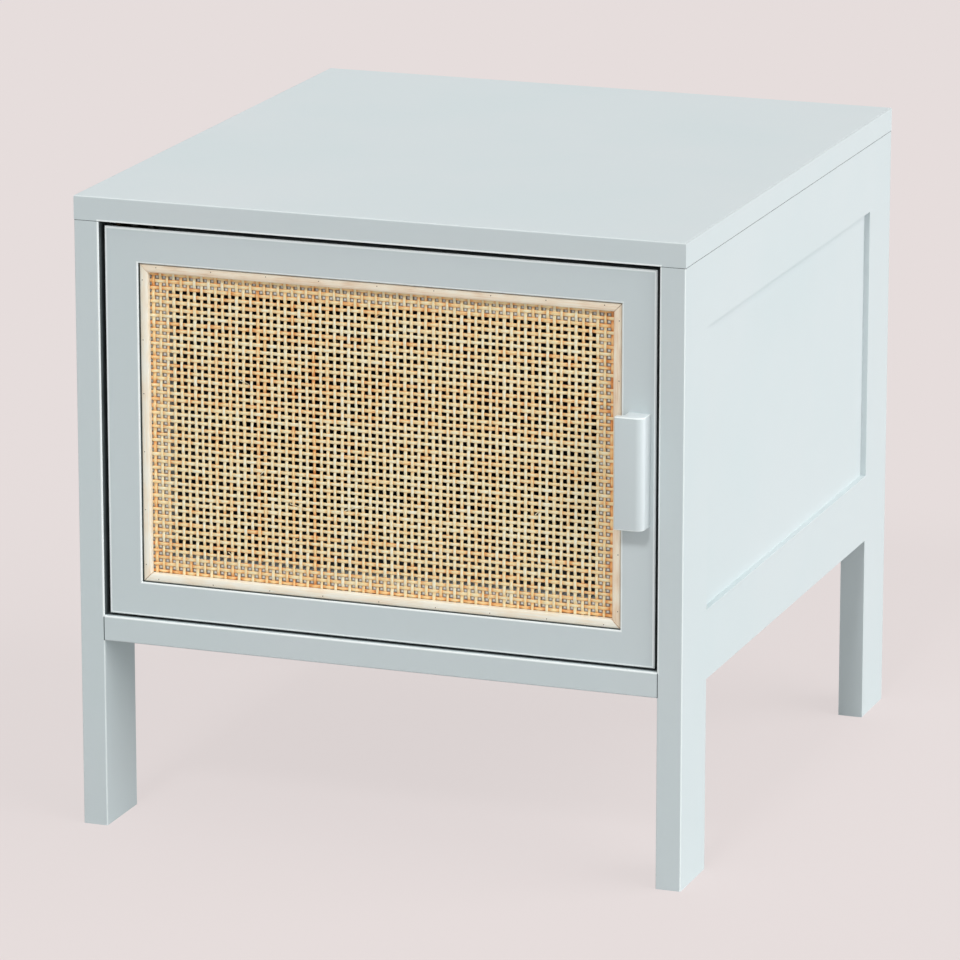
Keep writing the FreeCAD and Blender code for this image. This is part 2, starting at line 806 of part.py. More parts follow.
def write_carcass_hardware():
    """Everything that fastens the carcass, carries the door or holds it shut."""
    save("carcass_dowels", [dowel(*place) for place in dowel_places()])
    save("cam_locks", [cam_solid(*place) for place in cam_places()])
    save("cam_bolts", [cam_bolt(meeting, bolt_way) for meeting, bolt_way, _ in cam_places()])
    save("back_screws", [back_screw(*place) for place in back_screw_places()])
    save("upper_hinge_cabinet_leaf", [cabinet_leaf(top_underside, top_underside, UP)])
    save("lower_hinge_cabinet_leaf", [cabinet_leaf(bottom_top - leaf_thickness, bottom_top, DOWN)])
    cabinet_places = leaf_screw_places(top_underside, UP) + leaf_screw_places(bottom_top, DOWN)
    save("cabinet_leaf_screws", [leaf_screw(*place) for place in cabinet_places])
    save("hinge_pins", hinge_pins())
    save("thrust_washer", [thrust_washer()])
    save("catch_housing", [catch_housing()])
    save("catch_magnet", [catch_magnet()])
    save("catch_screws", [catch_screw(*place) for place in catch_screw_places()])


def write_door():
    """The door, its cane panel and everything screwed to it."""
    save("door_hinge_stile", [hinge_stile()])
    save("door_handle_stile", [handle_stile()])
    top_rail = door_rail(door_top - door_member_width, door_top, door_top)
    save("door_top_rail", [drill(top_rail, strike_screw_places(), strike_screw)])
    bottom_rail = door_rail(door_bottom, door_bottom + door_member_width, door_bottom)
    save("door_bottom_rail", [bottom_rail])
    save("cane_columns", cane_columns())
    save("cane_rows", cane_rows())
    top_left = point(opening_left, 0, opening_top)
    top_right = point(opening_right, 0, opening_top)
    low_left = point(opening_left, 0, opening_bottom)
    low_right = point(opening_right, 0, opening_bottom)
    save("bead_top", [bead(top_left, top_right, DOWN)])
    save("bead_bottom", [bead(low_left, low_right, UP)])
    save("bead_left", [bead(low_left, top_left, point(1, 0, 0))])
    save("bead_right", [bead(low_right, top_right, point(-1, 0, 0))])
    save("handle", [handle()])
    save("handle_screws", [handle_screw(*place) for place in handle_screw_places()])
    save("upper_hinge_door_leaf", [door_leaf(door_top - leaf_thickness, door_top, DOWN)])
    save("lower_hinge_door_leaf", [door_leaf(door_bottom, door_bottom, UP)])
    door_places = leaf_screw_places(door_top, DOWN) + leaf_screw_places(door_bottom, UP)
    save("door_leaf_screws", [leaf_screw(*place) for place in door_places])
    save("strike_plate", [strike_plate()])
    save("strike_screws", [strike_screw(*place) for place in strike_screw_places()])


write_carcass()
write_carcass_hardware()
write_door()
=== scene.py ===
# %% [markdown]
# # A painted side table with a cane door
# The frame that this lesson loads is the finished construction: every board, hinge and screw at its real size
# and place. Nothing here moves or resizes those. What is left is what the eye judges: the satin paint, the
# woven cane, the bare wood beads, the pull, the metal fittings, and a soft light on all of them.
# Everything is in metres. X runs to the right, Y from the door to the back, and Z up from the floor.

# %% Load the frame
import math
import bmesh
import bpy
import numpy as np
from mathutils import Matrix, Vector


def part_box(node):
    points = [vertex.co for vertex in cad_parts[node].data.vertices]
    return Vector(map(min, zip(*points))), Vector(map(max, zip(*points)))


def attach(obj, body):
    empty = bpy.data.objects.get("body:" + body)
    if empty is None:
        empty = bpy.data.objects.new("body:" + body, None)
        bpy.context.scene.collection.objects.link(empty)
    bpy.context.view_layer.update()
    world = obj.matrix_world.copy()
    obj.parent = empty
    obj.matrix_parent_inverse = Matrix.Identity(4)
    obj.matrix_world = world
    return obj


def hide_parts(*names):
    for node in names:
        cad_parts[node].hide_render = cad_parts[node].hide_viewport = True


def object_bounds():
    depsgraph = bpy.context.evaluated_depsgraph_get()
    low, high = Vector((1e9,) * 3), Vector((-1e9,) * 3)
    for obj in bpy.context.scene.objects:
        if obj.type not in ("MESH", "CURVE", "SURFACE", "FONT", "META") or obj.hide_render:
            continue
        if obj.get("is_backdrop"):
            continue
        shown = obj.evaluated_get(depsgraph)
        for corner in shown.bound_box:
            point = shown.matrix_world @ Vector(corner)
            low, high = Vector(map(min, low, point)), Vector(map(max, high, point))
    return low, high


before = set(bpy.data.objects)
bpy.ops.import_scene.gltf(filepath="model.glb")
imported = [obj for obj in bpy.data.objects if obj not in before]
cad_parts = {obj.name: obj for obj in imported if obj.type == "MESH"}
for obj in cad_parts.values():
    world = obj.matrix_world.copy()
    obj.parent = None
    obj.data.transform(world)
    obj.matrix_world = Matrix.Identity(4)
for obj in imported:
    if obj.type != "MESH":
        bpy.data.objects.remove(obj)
cad_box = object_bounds()
MM = 0.001

# %% [markdown]
# ## The camera
# A small table is best shown from far away through a long lens, so that its upright edges stay almost
# upright. The camera stands to the right of the door and looks slightly down. It could track an empty, but a
# place, a turn and a tilt say the same thing in three plain values.

# %% Set the camera
CAMERA_PLACE = (1.455, -4.01225, 1.345)
CAMERA_TURN = math.radians(20.06)
CAMERA_TILT = math.radians(90 - 14.89)
CAMERA_LENS = 231.6
VIEW_END = 60.0


def set_out(name, data):
    """Put a new object in the scene."""
    thing = bpy.data.objects.new(name, data)
    bpy.context.scene.collection.objects.link(thing)
    return thing


lens = bpy.data.cameras.new("camera")
lens.lens = CAMERA_LENS
lens.clip_end = VIEW_END
turned = Matrix.Rotation(CAMERA_TURN, 4, "Z") @ Matrix.Rotation(CAMERA_TILT, 4, "X")
camera = set_out("camera", lens)
camera.matrix_world = Matrix.Translation(CAMERA_PLACE) @ turned
bpy.context.scene.camera = camera
bpy.context.scene.view_settings.view_transform = "Standard"
print(f"The camera stands {camera.location.length:.2f} m from the table's foot.")

# %% [markdown]
# ## A short way to write materials
# Blender's materials are trees of nodes. Adding each node by hand takes four lines, so two helpers do it in
# one: `put` adds a node and fills its inputs, and an input that is given another node's output gets a link.
# Colours are picked on the usual 0 to 255 scale of a screen, and shaders work with linear light, so `tint`
# turns one into the other.

# %% Write the helpers that add nodes
def feed(tree, node, inputs):
    """Fill a node's inputs: another node's output is linked, and anything else is set as a value."""
    for name, value in inputs.items():
        if isinstance(value, bpy.types.NodeSocket):
            tree.links.new(value, node.inputs[name])
        else:
            node.inputs[name].default_value = value


def put(tree, kind, inputs, **settings):
    """Add a shader node with its settings and inputs."""
    node = tree.nodes.new("ShaderNode" + kind)
    for name, value in settings.items():
        setattr(node, name, value)
    feed(tree, node, inputs)
    return node


def reckon(tree, operation, *values):
    """One step of arithmetic on numbers or outputs."""
    return put(tree, "Math", dict(enumerate(values)), operation=operation).outputs[0]


def any_of(tree, *shares):
    """The largest of shares from 0 to 1."""
    whole = shares[0]
    for share in shares[1:]:
        whole = reckon(tree, "MAXIMUM", whole, share)
    return whole


def start_material(name):
    """A new material, its node tree and its main shader."""
    material = bpy.data.materials.new(name)
    material.use_nodes = True
    return material, material.node_tree, material.node_tree.nodes["Principled BSDF"]


print("A new object and a shader's node each take one line now.")

# %% Write the helpers for patterns and colours
# Noise rarely comes near 0 or 1. Where it drives a value, one of these pairs stands for its whole range.
NARROW = (0.3, 0.7)
WIDE = (0.25, 0.75)


def tint(red, green, blue):
    """A screen colour from 0 to 255 as linear RGBA."""
    shares = [value / 255 for value in (red, green, blue)]
    lights = [s / 12.92 if s <= 0.04045 else ((s + 0.055) / 1.055) ** 2.4 for s in shares]
    return (*lights, 1.0)


def noise(tree, place, scale, detail=2.0, roughness=0.5):
    """A soft random pattern from 0 to 1."""
    inputs = {"Vector": place, "Scale": scale, "Detail": detail, "Roughness": roughness}
    return put(tree, "TexNoise", inputs).outputs["Fac"]


def between(tree, factor, low, high, start=0.0, end=1.0):
    """A number that goes from low to high as a factor goes from start to end."""
    inputs = {"Value": factor, "From Min": start, "From Max": end, "To Min": low, "To Max": high}
    return put(tree, "MapRange", inputs).outputs["Result"]


def ramp(tree, factor, stops):
    """A colour read along a line of (place, colour) stops."""
    node = put(tree, "ValToRGB", {"Fac": factor})
    elements = node.color_ramp.elements
    elements[0].position, elements[0].color = stops[0]
    elements[1].position, elements[1].color = stops[-1]
    for place, colour in stops[1:-1]:
        elements.new(place).color = colour
    return node.outputs["Color"]


def shade(tree, colour, factor, strength):
    """Darken and lighten a colour around itself by a factor from 0 to 1."""
    value = between(tree, factor, 1 - strength, 1 + strength)
    return put(tree, "HueSaturation", {"Color": colour, "Value": value}).outputs["Color"]


def bump(tree, height, depth, onto=None):
    """A bump of a real depth in metres from a height that runs from 0 to 1."""
    inputs = {"Height": height, "Strength": 1.0, "Distance": depth}
    if onto:
        inputs["Normal"] = onto
    return put(tree, "Bump", inputs).outputs["Normal"]


print("A mid grey of 188 is", round(tint(188, 188, 188)[0], 3), "in linear light.")

# %% [markdown]
# ## Floor and light
# The table stands on a plain pale floor that runs on behind it as the backdrop. The camera sees the floor
# mostly as its own flat colour, with a share of the real shading mixed in, so that the shadows at the feet
# stay. Every other ray meets a plain pale grey floor, which throws neutral light up at the legs.
# The light is an even sky, a very large soft lamp from the right, less than 30 degrees up, and a smaller one
# from the front and above that puts a soft shadow under the pull. Sun lamps with wide angles were chosen over
# area lamps because their light is as strong at the front legs as at the back ones.

# %% Make the floor
BACKDROP = tint(230, 221, 220)
FLOOR_GREY = tint(188, 188, 188)
FLOOR_REACH = 30.0
SHADOW_SHARE = 0.15


def seen_directly(tree):
    """1 for rays from the camera, or ones that a mirror or clear piece sends on."""
    path = put(tree, "LightPath", {}).outputs
    return any_of(tree, path["Is Camera Ray"], path["Is Glossy Ray"], path["Is Transmission Ray"])


def floor_material():
    """The floor: the backdrop's colour to the eye, and a plain grey to the light."""
    material, tree, shader = start_material("floor")
    tree.nodes.remove(shader)
    flat = put(tree, "Emission", {"Color": BACKDROP})
    shaded = put(tree, "BsdfDiffuse", {"Color": BACKDROP})
    grey = put(tree, "BsdfDiffuse", {"Color": FLOOR_GREY})
    shown = put(tree, "MixShader", {"Fac": SHADOW_SHARE, 1: flat.outputs[0], 2: shaded.outputs[0]})
    both = put(tree, "MixShader", {"Fac": seen_directly(tree), 1: grey.outputs[0], 2: shown.outputs[0]})
    tree.links.new(both.outputs[0], tree.nodes["Material Output"].inputs["Surface"])
    return material


corners = [(x * FLOOR_REACH, y * FLOOR_REACH, 0) for x, y in ((-1, -1), (1, -1), (1, 1), (-1, 1))]
floor_mesh = bpy.data.meshes.new("floor")
floor_mesh.from_pydata(corners, [], [(0, 1, 2, 3)])
floor_mesh.materials.append(floor_material())
floor = set_out("floor", floor_mesh)
floor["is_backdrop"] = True
print("The floor is", 2 * FLOOR_REACH, "m across, so that no view finds its edge.")

# %% Light the table
# Each lamp has its strength, its width in the sky in degrees, and the way to it.
SKY_STRENGTH = 0.41
LAMPS = {
    "side_lamp": (2.53, 70, Vector((0.887, 0.0, 0.462))),
    "front_lamp": (0.98, 11, Vector((0.0, -0.719, 0.695))),
}

world = bpy.data.worlds.new("sky")
bpy.context.scene.world = world
world.use_nodes = True
sky = world.node_tree
even = sky.nodes["Background"]
feed(sky, even, {"Color": (1.0, 1.0, 1.0, 1.0), "Strength": SKY_STRENGTH})
backdrop = put(sky, "Background", {"Color": BACKDROP})
both = put(sky, "MixShader", {"Fac": seen_directly(sky), 1: even.outputs[0], 2: backdrop.outputs[0]})
sky.links.new(both.outputs[0], sky.nodes["World Output"].inputs["Surface"])

for name, (strength, softness, toward) in LAMPS.items():
    lamp_data = bpy.data.lights.new(name, "SUN")
    lamp_data.energy = strength
    lamp_data.angle = math.radians(softness)
    lamp = set_out(name, lamp_data)
    lamp.rotation_mode = "QUATERNION"
    lamp.rotation_quaternion = toward.to_track_quat("Z", "Y")
    print("The", name, "comes from", [round(v, 2) for v in toward.normalized()])

# %% [markdown]
# ## Satin paint
# The boards carry a sprayed pale blue-grey lacquer. Sprayed paint dries with a faint orange peel: shallow
# waves about a millimetre across. Its gloss drifts a little from place to place, and so does its colour.
# An image texture could show this, but noise in the object's own metres needs no map and runs on from board
# to board. The thin side panels take paint a shade rougher than the solid frame does. First come the places
# where painted light and shade change the colour: painted highlights on eased edges, painted shade at the
# seams and inside the case, and painted shadows of the strands on the ledge behind the webbing.

# %% Measure where the paint changes
def span(node, axis):
    """A node's lowest and highest place along an axis."""
    low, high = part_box(node)
    return getattr(low, axis), getattr(high, axis)


board_low, case_floor = span("bottom_panel", "z")
case_top = span("top_panel", "z")[0]
case_left, case_right = span("bottom_panel", "x")
case_front = span("bottom_panel", "y")[0]
back_inside = span("back_panel", "y")[0]
CASE_MOUTH = {"X": (case_left, case_right), "Z": (case_floor, case_top)}
DOOR_OUTLINE = {
    "X": (span("door_hinge_stile", "x")[0], span("door_handle_stile", "x")[1]),
    "Z": span("door_hinge_stile", "z"),
}
DOOR_MOUTH = {
    "X": (span("bead_left", "x")[0], span("bead_right", "x")[1]),
    "Z": (span("bead_bottom", "z")[0], span("bead_top", "z")[1]),
}
door_face, door_back = span("door_top_rail", "y")
ledge_face = span("cane_rows", "y")[1]
print("The door's face lies", round((door_face - case_front) / MM, 1), "mm behind the legs' faces.")

# %% Measure the webbing
# The webbing comes into it here too, because the ledge behind it carries painted shadows of its strands.
COLUMN_WIDTH = 2.22 * MM
ROW_WIDTH = 2.42 * MM
COLUMN_PITCH = 5.1 * MM
ROW_PITCH = 4.9 * MM

columns_low, columns_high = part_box("cane_columns")
rows_low, rows_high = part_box("cane_rows")
cane_front = columns_low.y
cane_back = rows_high.y
cane_middle = (cane_front + cane_back) / 2
weave_lift = (cane_back - cane_front) / 4
print(f"The webbing is {(cane_back - cane_front) / MM:.1f} mm thick over its two layers.")


def middles(low, high, pitch, width):
    """The middle lines of the strands between two sides."""
    count = round((high - low - width) / pitch) + 1
    return np.linspace(low + width / 2, high - width / 2, count)


column_lines = middles(columns_low.x, columns_high.x, COLUMN_PITCH, COLUMN_WIDTH)
row_lines = middles(rows_low.z, rows_high.z, ROW_PITCH, ROW_WIDTH)
print(len(column_lines), "upright strands cross", len(row_lines), "level ones.")

# %% Write the helpers that find places
# FAR is farther than any face of the table, for a range that has no end on one side.
FAR = 1.0


def all_of(tree, *shares):
    """The product of shares from 0 to 1."""
    whole = shares[0]
    for share in shares[1:]:
        whole = reckon(tree, "MULTIPLY", whole, share)
    return whole


def axes(tree, vector):
    """A vector's parts along X, Y and Z."""
    return put(tree, "SeparateXYZ", {"Vector": vector}).outputs


def is_between(tree, value, low, high):
    """1 where a value lies from low to high, and 0 elsewhere."""
    return reckon(tree, "COMPARE", value, (low + high) / 2, (high - low) / 2)


def within(tree, parts, **ranges):
    """1 where a place lies in the range of each named axis, and 0 elsewhere."""
    return all_of(tree, *(is_between(tree, parts[axis], *ends) for axis, ends in ranges.items()))


def outside_of(tree, parts, rectangle):
    """How far a place lies outside a rectangle on the front. It is negative inside."""
    offs = []
    for axis, (low, high) in rectangle.items():
        off_middle = reckon(tree, "ABSOLUTE", reckon(tree, "SUBTRACT", parts[axis], (low + high) / 2))
        offs.append(reckon(tree, "SUBTRACT", off_middle, (high - low) / 2))
    return reckon(tree, "MAXIMUM", *offs)


def off_strands(tree, place, lines):
    """0 behind the middle of a strand, and 0.5 midway between two of them."""
    pitch = lines[1] - lines[0]
    steps = reckon(tree, "DIVIDE", reckon(tree, "SUBTRACT", place, lines[0]), pitch)
    return reckon(tree, "PINGPONG", steps, 0.5)


print("The front's mouth is", round((case_right - case_left) / MM), "mm wide.")

# %% Write the helpers that find eased edges and lay painted light and shade
# On a flat side the three parts of a face's direction add up to 1, and on an eased edge to about 1.4.
SLANT_SUM = (1.2, 1.4)
EASED_PRODUCT = (0.2, 0.4)


def facing(tree):
    """The way that a face looks, the same all over the face."""
    return put(tree, "NewGeometry", {}).outputs["True Normal"]


def slanting(tree):
    """1 on the slanting faces of eased edges, and 0 on the flat sides of the boards."""
    size = put(tree, "VectorMath", {0: facing(tree)}, operation="ABSOLUTE").outputs["Vector"]
    total = put(tree, "VectorMath", {0: size, 1: (1, 1, 1)}, operation="DOT_PRODUCT").outputs["Value"]
    return between(tree, total, 0.0, 1.0, *SLANT_SUM)


def eased_between(tree, first, second):
    """1 on an eased edge between two directions, and 0 on every flat side."""
    parts = axes(tree, facing(tree))
    both = reckon(tree, "ABSOLUTE", reckon(tree, "MULTIPLY", parts[first], parts[second]))
    return between(tree, both, 0.0, 1.0, *EASED_PRODUCT)


def blended(tree, share, low, high):
    """One colour where a share is 0 and another where it is 1."""
    mix = put(tree, "Mix", {"Factor": share}, data_type="RGBA")
    feed(tree, mix, {6: low, 7: high})
    return mix.outputs[2]


def coated(tree, colour, *coats):
    """A colour with painted light and shade laid over it, each a share from 0 to 1 and the colour that it
    lays on.
    """
    for share, coat in coats:
        colour = blended(tree, share, colour, coat)
    return colour


print("A bevel of 45 degrees adds up to", round(math.sqrt(2), 2))

# %% Spray a film of paint
PAINT = tint(211, 220, 222)
PAINT_COOL = tint(208, 219, 221)
PAINT_SHINE = 0.22
PAINT_ROUGHNESS = 0.55
PANEL_ROUGHNESS = 0.60
FINE_PEEL = (1.3 * MM, 0.006 * MM)
PANEL_PEEL = (1.0 * MM, 0.008 * MM)
DRIFT_SCALE = 7.0
SMEAR_SCALE = 60.0
SMEAR_DEPTH = 0.06 * MM
SMEAR_SHADE = 0.012
GLOSS_SPREAD = 0.05


def paint_film(name, peel, roughness):
    """Sprayed paint with a slow drift in colour and gloss and a fine orange peel of a size and a depth."""
    material, tree, shader = start_material(name)
    place = put(tree, "TexCoord", {}).outputs["Object"]
    drift = noise(tree, place, DRIFT_SCALE, detail=3.0)
    smear = noise(tree, place, SMEAR_SCALE, detail=4.0, roughness=0.65)
    peel_size, peel_depth = peel
    waves = noise(tree, place, 1 / peel_size, detail=1.0)
    base = ramp(tree, drift, [(0.35, PAINT), (0.65, PAINT_COOL)])
    inputs = {
        "Base Color": base,
        "Roughness": between(tree, smear, roughness - GLOSS_SPREAD, roughness + GLOSS_SPREAD, *NARROW),
        "Normal": bump(tree, waves, peel_depth, bump(tree, smear, SMEAR_DEPTH)),
        "Specular IOR Level": PAINT_SHINE,
    }
    feed(tree, shader, inputs)
    return material, tree, shader, axes(tree, place), smear, base


print("The paint's colour drifts over about", round(1000 / DRIFT_SCALE), "mm.")

# %% Paint the carcass
# Each range is a little wider than the faces that it is meant for.
# The eased edges and the rim round the front's mouth are paler, as painted highlights. The edges between the
# sides and the level faces are darker, as painted shade.
ARRIS_HIGHLIGHT = tint(224, 232, 233)
FRONT_HIGHLIGHT = tint(248, 255, 255)
LEVEL_EDGE_SHADE = tint(189, 197, 198)
UPRIGHT_HIGHLIGHT = tint(226, 234, 235)
# A painted shade for the seams under the top, beside the bottom board's ends and on the walls of the door's
# rabbet.
SEAM_SHADE = tint(96, 106, 108)
# The inside of the case is coloured a dark grey painted shade that keeps the webbing's holes dark.
INSIDE_SHADE = tint(88, 96, 98)
INSIDE_SHADE_SOFT = tint(100, 108, 110)
ARRIS_REACH = (0.8 * MM, 1.5 * MM)
RIM = (-0.2 * MM, 2 * MM)
ON_FRONT = (case_front - MM, case_front + MM)
UNDER_TOP = (case_top - 0.45 * MM, case_top + 0.1 * MM)
BESIDE_BOARD = (-0.2 * MM, MM)
BELOW_MOUTH = (board_low, case_floor - 0.8 * MM)
INTO_SIDES = (-FAR, 12 * MM)
INSIDE_DEPTH = (case_front + MM, back_inside + 4 * MM)
INSIDE_HEIGHT = (case_floor - 0.4 * MM, case_top + 0.4 * MM)
SILL_DEPTH = (case_front - MM, door_face - 0.2 * MM)
SILL_HEIGHT = (case_floor - 0.4 * MM, case_floor + 0.3 * MM)
TOP_BOARD = (case_top, FAR)


def case_paint(name, peel, roughness):
    """The carcass: pale paint, painted highlights on edges, painted shade on level edges, seams and inside.
    """
    material, tree, shader, parts, smear, base = paint_film(name, peel, roughness)
    slant = slanting(tree)
    off_mouth = outside_of(tree, parts, CASE_MOUTH)
    off_board = reckon(tree, "SUBTRACT", reckon(tree, "ABSOLUTE", parts["X"]), case_right)
    on_front = within(tree, parts, Y=ON_FRONT)
    near_mouth = between(tree, off_mouth, 1.0, 0.0, *ARRIS_REACH)
    rim_highlight = all_of(tree, near_mouth, on_front, is_between(tree, off_mouth, *RIM))
    level_seam = all_of(tree, slant, within(tree, parts, Z=UNDER_TOP))
    board_end = all_of(tree, is_between(tree, off_board, *BESIDE_BOARD), within(tree, parts, Z=BELOW_MOUTH))
    upright_seam = all_of(tree, slant, board_end, on_front)
    sides = is_between(tree, off_board, *INTO_SIDES)
    inside = all_of(tree, sides, within(tree, parts, Y=INSIDE_DEPTH, Z=INSIDE_HEIGHT))
    sill = within(tree, parts, Y=SILL_DEPTH, Z=SILL_HEIGHT)
    # The dark grey painted shade inside the case, drifting a little in tone.
    coat = ramp(tree, smear, [(0.35, INSIDE_SHADE), (0.65, INSIDE_SHADE_SOFT)])
    upright = blended(tree, within(tree, parts, Z=TOP_BOARD), UPRIGHT_HIGHLIGHT, FRONT_HIGHLIGHT)
    # Painted highlights on the eased edges and the mouth's rim, and painted shade on the level edges, in the
    # seams and inside the case.
    colour = coated(
        tree,
        base,
        (slant, ARRIS_HIGHLIGHT),
        (eased_between(tree, "X", "Z"), LEVEL_EDGE_SHADE),
        (eased_between(tree, "X", "Y"), upright),
        (rim_highlight, FRONT_HIGHLIGHT),
        (any_of(tree, level_seam, upright_seam), SEAM_SHADE),
        (reckon(tree, "SUBTRACT", inside, all_of(tree, inside, sill)), coat),
    )
    feed(tree, shader, {"Base Color": shade(tree, colour, smear, SMEAR_SHADE)})
    return material


frame_paint = case_paint("paint", FINE_PEEL, PAINT_ROUGHNESS)
panel_paint = case_paint("panel_paint", PANEL_PEEL, PANEL_ROUGHNESS)
print("The carcass has", frame_paint.name, "on its frame and", panel_paint.name, "on its panels.")

# %% Paint the door's frame
# The door's outer edges in the gaps are coloured a darker painted shade.
DOOR_EDGE_SHADE = tint(132, 139, 141)
# The ledge's lit and shaded colours make the painted shadows of the strands.
LEDGE_LIT = tint(240, 240, 232)
LEDGE_SHADED = tint(128, 116, 100)
STRAND_SHADE = (0.24, 0.42)
DOOR_ARRIS_REACH = (1.2 * MM, 1.9 * MM)
MOUTH_RIM = (0.02 * MM, 2 * MM)
ON_DOOR_FACE = (door_face - MM, door_face + 0.75 * MM)
AT_WALL = (-0.05 * MM, 0.05 * MM)
RABBET_DEPTH = (door_face + 0.75 * MM, ledge_face)
INSIDE_RABBET = (-FAR, -0.05 * MM)
ON_LEDGE = (ledge_face - 0.1 * MM, ledge_face + 0.1 * MM)
AT_OUTLINE = (-MM, 0.04 * MM)
EDGE_DEPTH = (door_face + 0.8 * MM, door_back - 0.8 * MM)


def door_paint_film():
    """The door: pale paint, painted highlights, painted shade on seam and edges, a pale ledge with painted
    shadows.
    """
    material, tree, shader, parts, smear, base = paint_film("door_paint", FINE_PEEL, PAINT_ROUGHNESS)
    off_outline = reckon(tree, "MULTIPLY", outside_of(tree, parts, DOOR_OUTLINE), -1.0)
    off_mouth = outside_of(tree, parts, DOOR_MOUTH)
    on_face = within(tree, parts, Y=ON_DOOR_FACE)
    # The door's outer rim and the rim of its mouth get painted highlights.
    outer_highlight = all_of(tree, between(tree, off_outline, 1.0, 0.0, *DOOR_ARRIS_REACH), on_face)
    near_mouth = between(tree, off_mouth, 1.0, 0.0, *ARRIS_REACH)
    inner_highlight = all_of(tree, near_mouth, is_between(tree, off_mouth, *MOUTH_RIM), on_face)
    outer_edge = all_of(tree, is_between(tree, off_outline, *AT_OUTLINE), within(tree, parts, Y=EDGE_DEPTH))
    # The rabbet's walls beside the beads get a painted shade.
    rabbet_wall = all_of(tree, is_between(tree, off_mouth, *AT_WALL), within(tree, parts, Y=RABBET_DEPTH))
    ledge = all_of(tree, is_between(tree, off_mouth, *INSIDE_RABBET), within(tree, parts, Y=ON_LEDGE))
    # Pale between the strands and darker behind them: painted shadows of the strands on the ledge.
    off_columns = off_strands(tree, parts["X"], column_lines)
    off_rows = off_strands(tree, parts["Z"], row_lines)
    lit = between(tree, reckon(tree, "MINIMUM", off_columns, off_rows), 0.0, 1.0, *STRAND_SHADE)
    colour = coated(
        tree,
        base,
        (any_of(tree, outer_highlight, inner_highlight), FRONT_HIGHLIGHT),
        (outer_edge, DOOR_EDGE_SHADE),
        (rabbet_wall, SEAM_SHADE),
        (ledge, blended(tree, lit, LEDGE_SHADED, LEDGE_LIT)),
    )
    feed(tree, shader, {"Base Color": shade(tree, colour, smear, SMEAR_SHADE)})
    return material


door_paint = door_paint_film()
print("Behind the webbing the ledge is", round((ledge_face - door_face) / MM, 1), "mm deep in the door.")

# %% Paint the pull
# The pull's sides and the rounds at its ends are paler, as painted highlights.
PULL_SIDE_HIGHLIGHT = tint(232, 240, 243)
PULL_ROUGHNESS = 0.34
PULL_SHINE = 0.6
TURNED_SIDEWAYS = (0.3, 0.85)
TURNED_TO_ENDS = (0.1, 0.97)


def pull_paint_film():
    """The pull: a glossier paint, a painted highlight on its sides and a brighter one on the small rounds at
    its ends.
    """
    material, tree, shader, _, _, base = paint_film("pull_paint", FINE_PEEL, PULL_ROUGHNESS)
    parts = axes(tree, facing(tree))
    to_front = reckon(tree, "ABSOLUTE", parts["Y"])
    to_ends = reckon(tree, "ABSOLUTE", parts["Z"])
    # Painted highlights on the sides and on the rounds at the ends.
    colour = coated(
        tree,
        base,
        (between(tree, to_front, 1.0, 0.0, *TURNED_SIDEWAYS), PULL_SIDE_HIGHLIGHT),
        (is_between(tree, to_ends, *TURNED_TO_ENDS), FRONT_HIGHLIGHT),
    )
    feed(tree, shader, {"Base Color": colour, "Specular IOR Level": PULL_SHINE})
    return material


pull_paint = pull_paint_film()
print("Paints:", [paint.name for paint in (frame_paint, panel_paint, door_paint, pull_paint)])

# %% Give the boards their paint
SIDE_BOARDS = ("front_leg", "rear_leg", "upper_rail", "lower_rail")
FRAME_NODES = [f"{side}_{board}" for side in ("left", "right") for board in SIDE_BOARDS]
FRAME_NODES += ["top_panel", "bottom_panel"]
PANEL_NODES = ["left_side_panel", "right_side_panel", "back_panel"]
DOOR_NODES = ["door_hinge_stile", "door_handle_stile", "door_top_rail", "door_bottom_rail"]


def finish_node(node, material):
    """Give a node of the frame its finish."""
    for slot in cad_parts[node].material_slots:
        slot.material = material


for nodes, paint in ((FRAME_NODES, frame_paint), (PANEL_NODES, panel_paint), (DOOR_NODES, door_paint)):
    for node in nodes:
        finish_node(node, paint)
    print(paint.name, "covers", len(nodes), "boards.")

# %% [markdown]
# ## Pieces from rings
# Cane strands, beads and loose fibres are all one idea: a small section carried along a line. A curve with a
# bevel could do it, but it can't give each ring its own width, or colour the strand by how far along it a
# point lies. So `loft` joins rings of points into a mesh, and keeps two facts at each point for the
# materials: its tone, and its place along, across and through the piece. It also lays the strips side by side
# on a flat map, so that their colours can be baked into an image for an exported model.

# %% Join rings into a mesh
SHARP_ANGLE = math.radians(50)


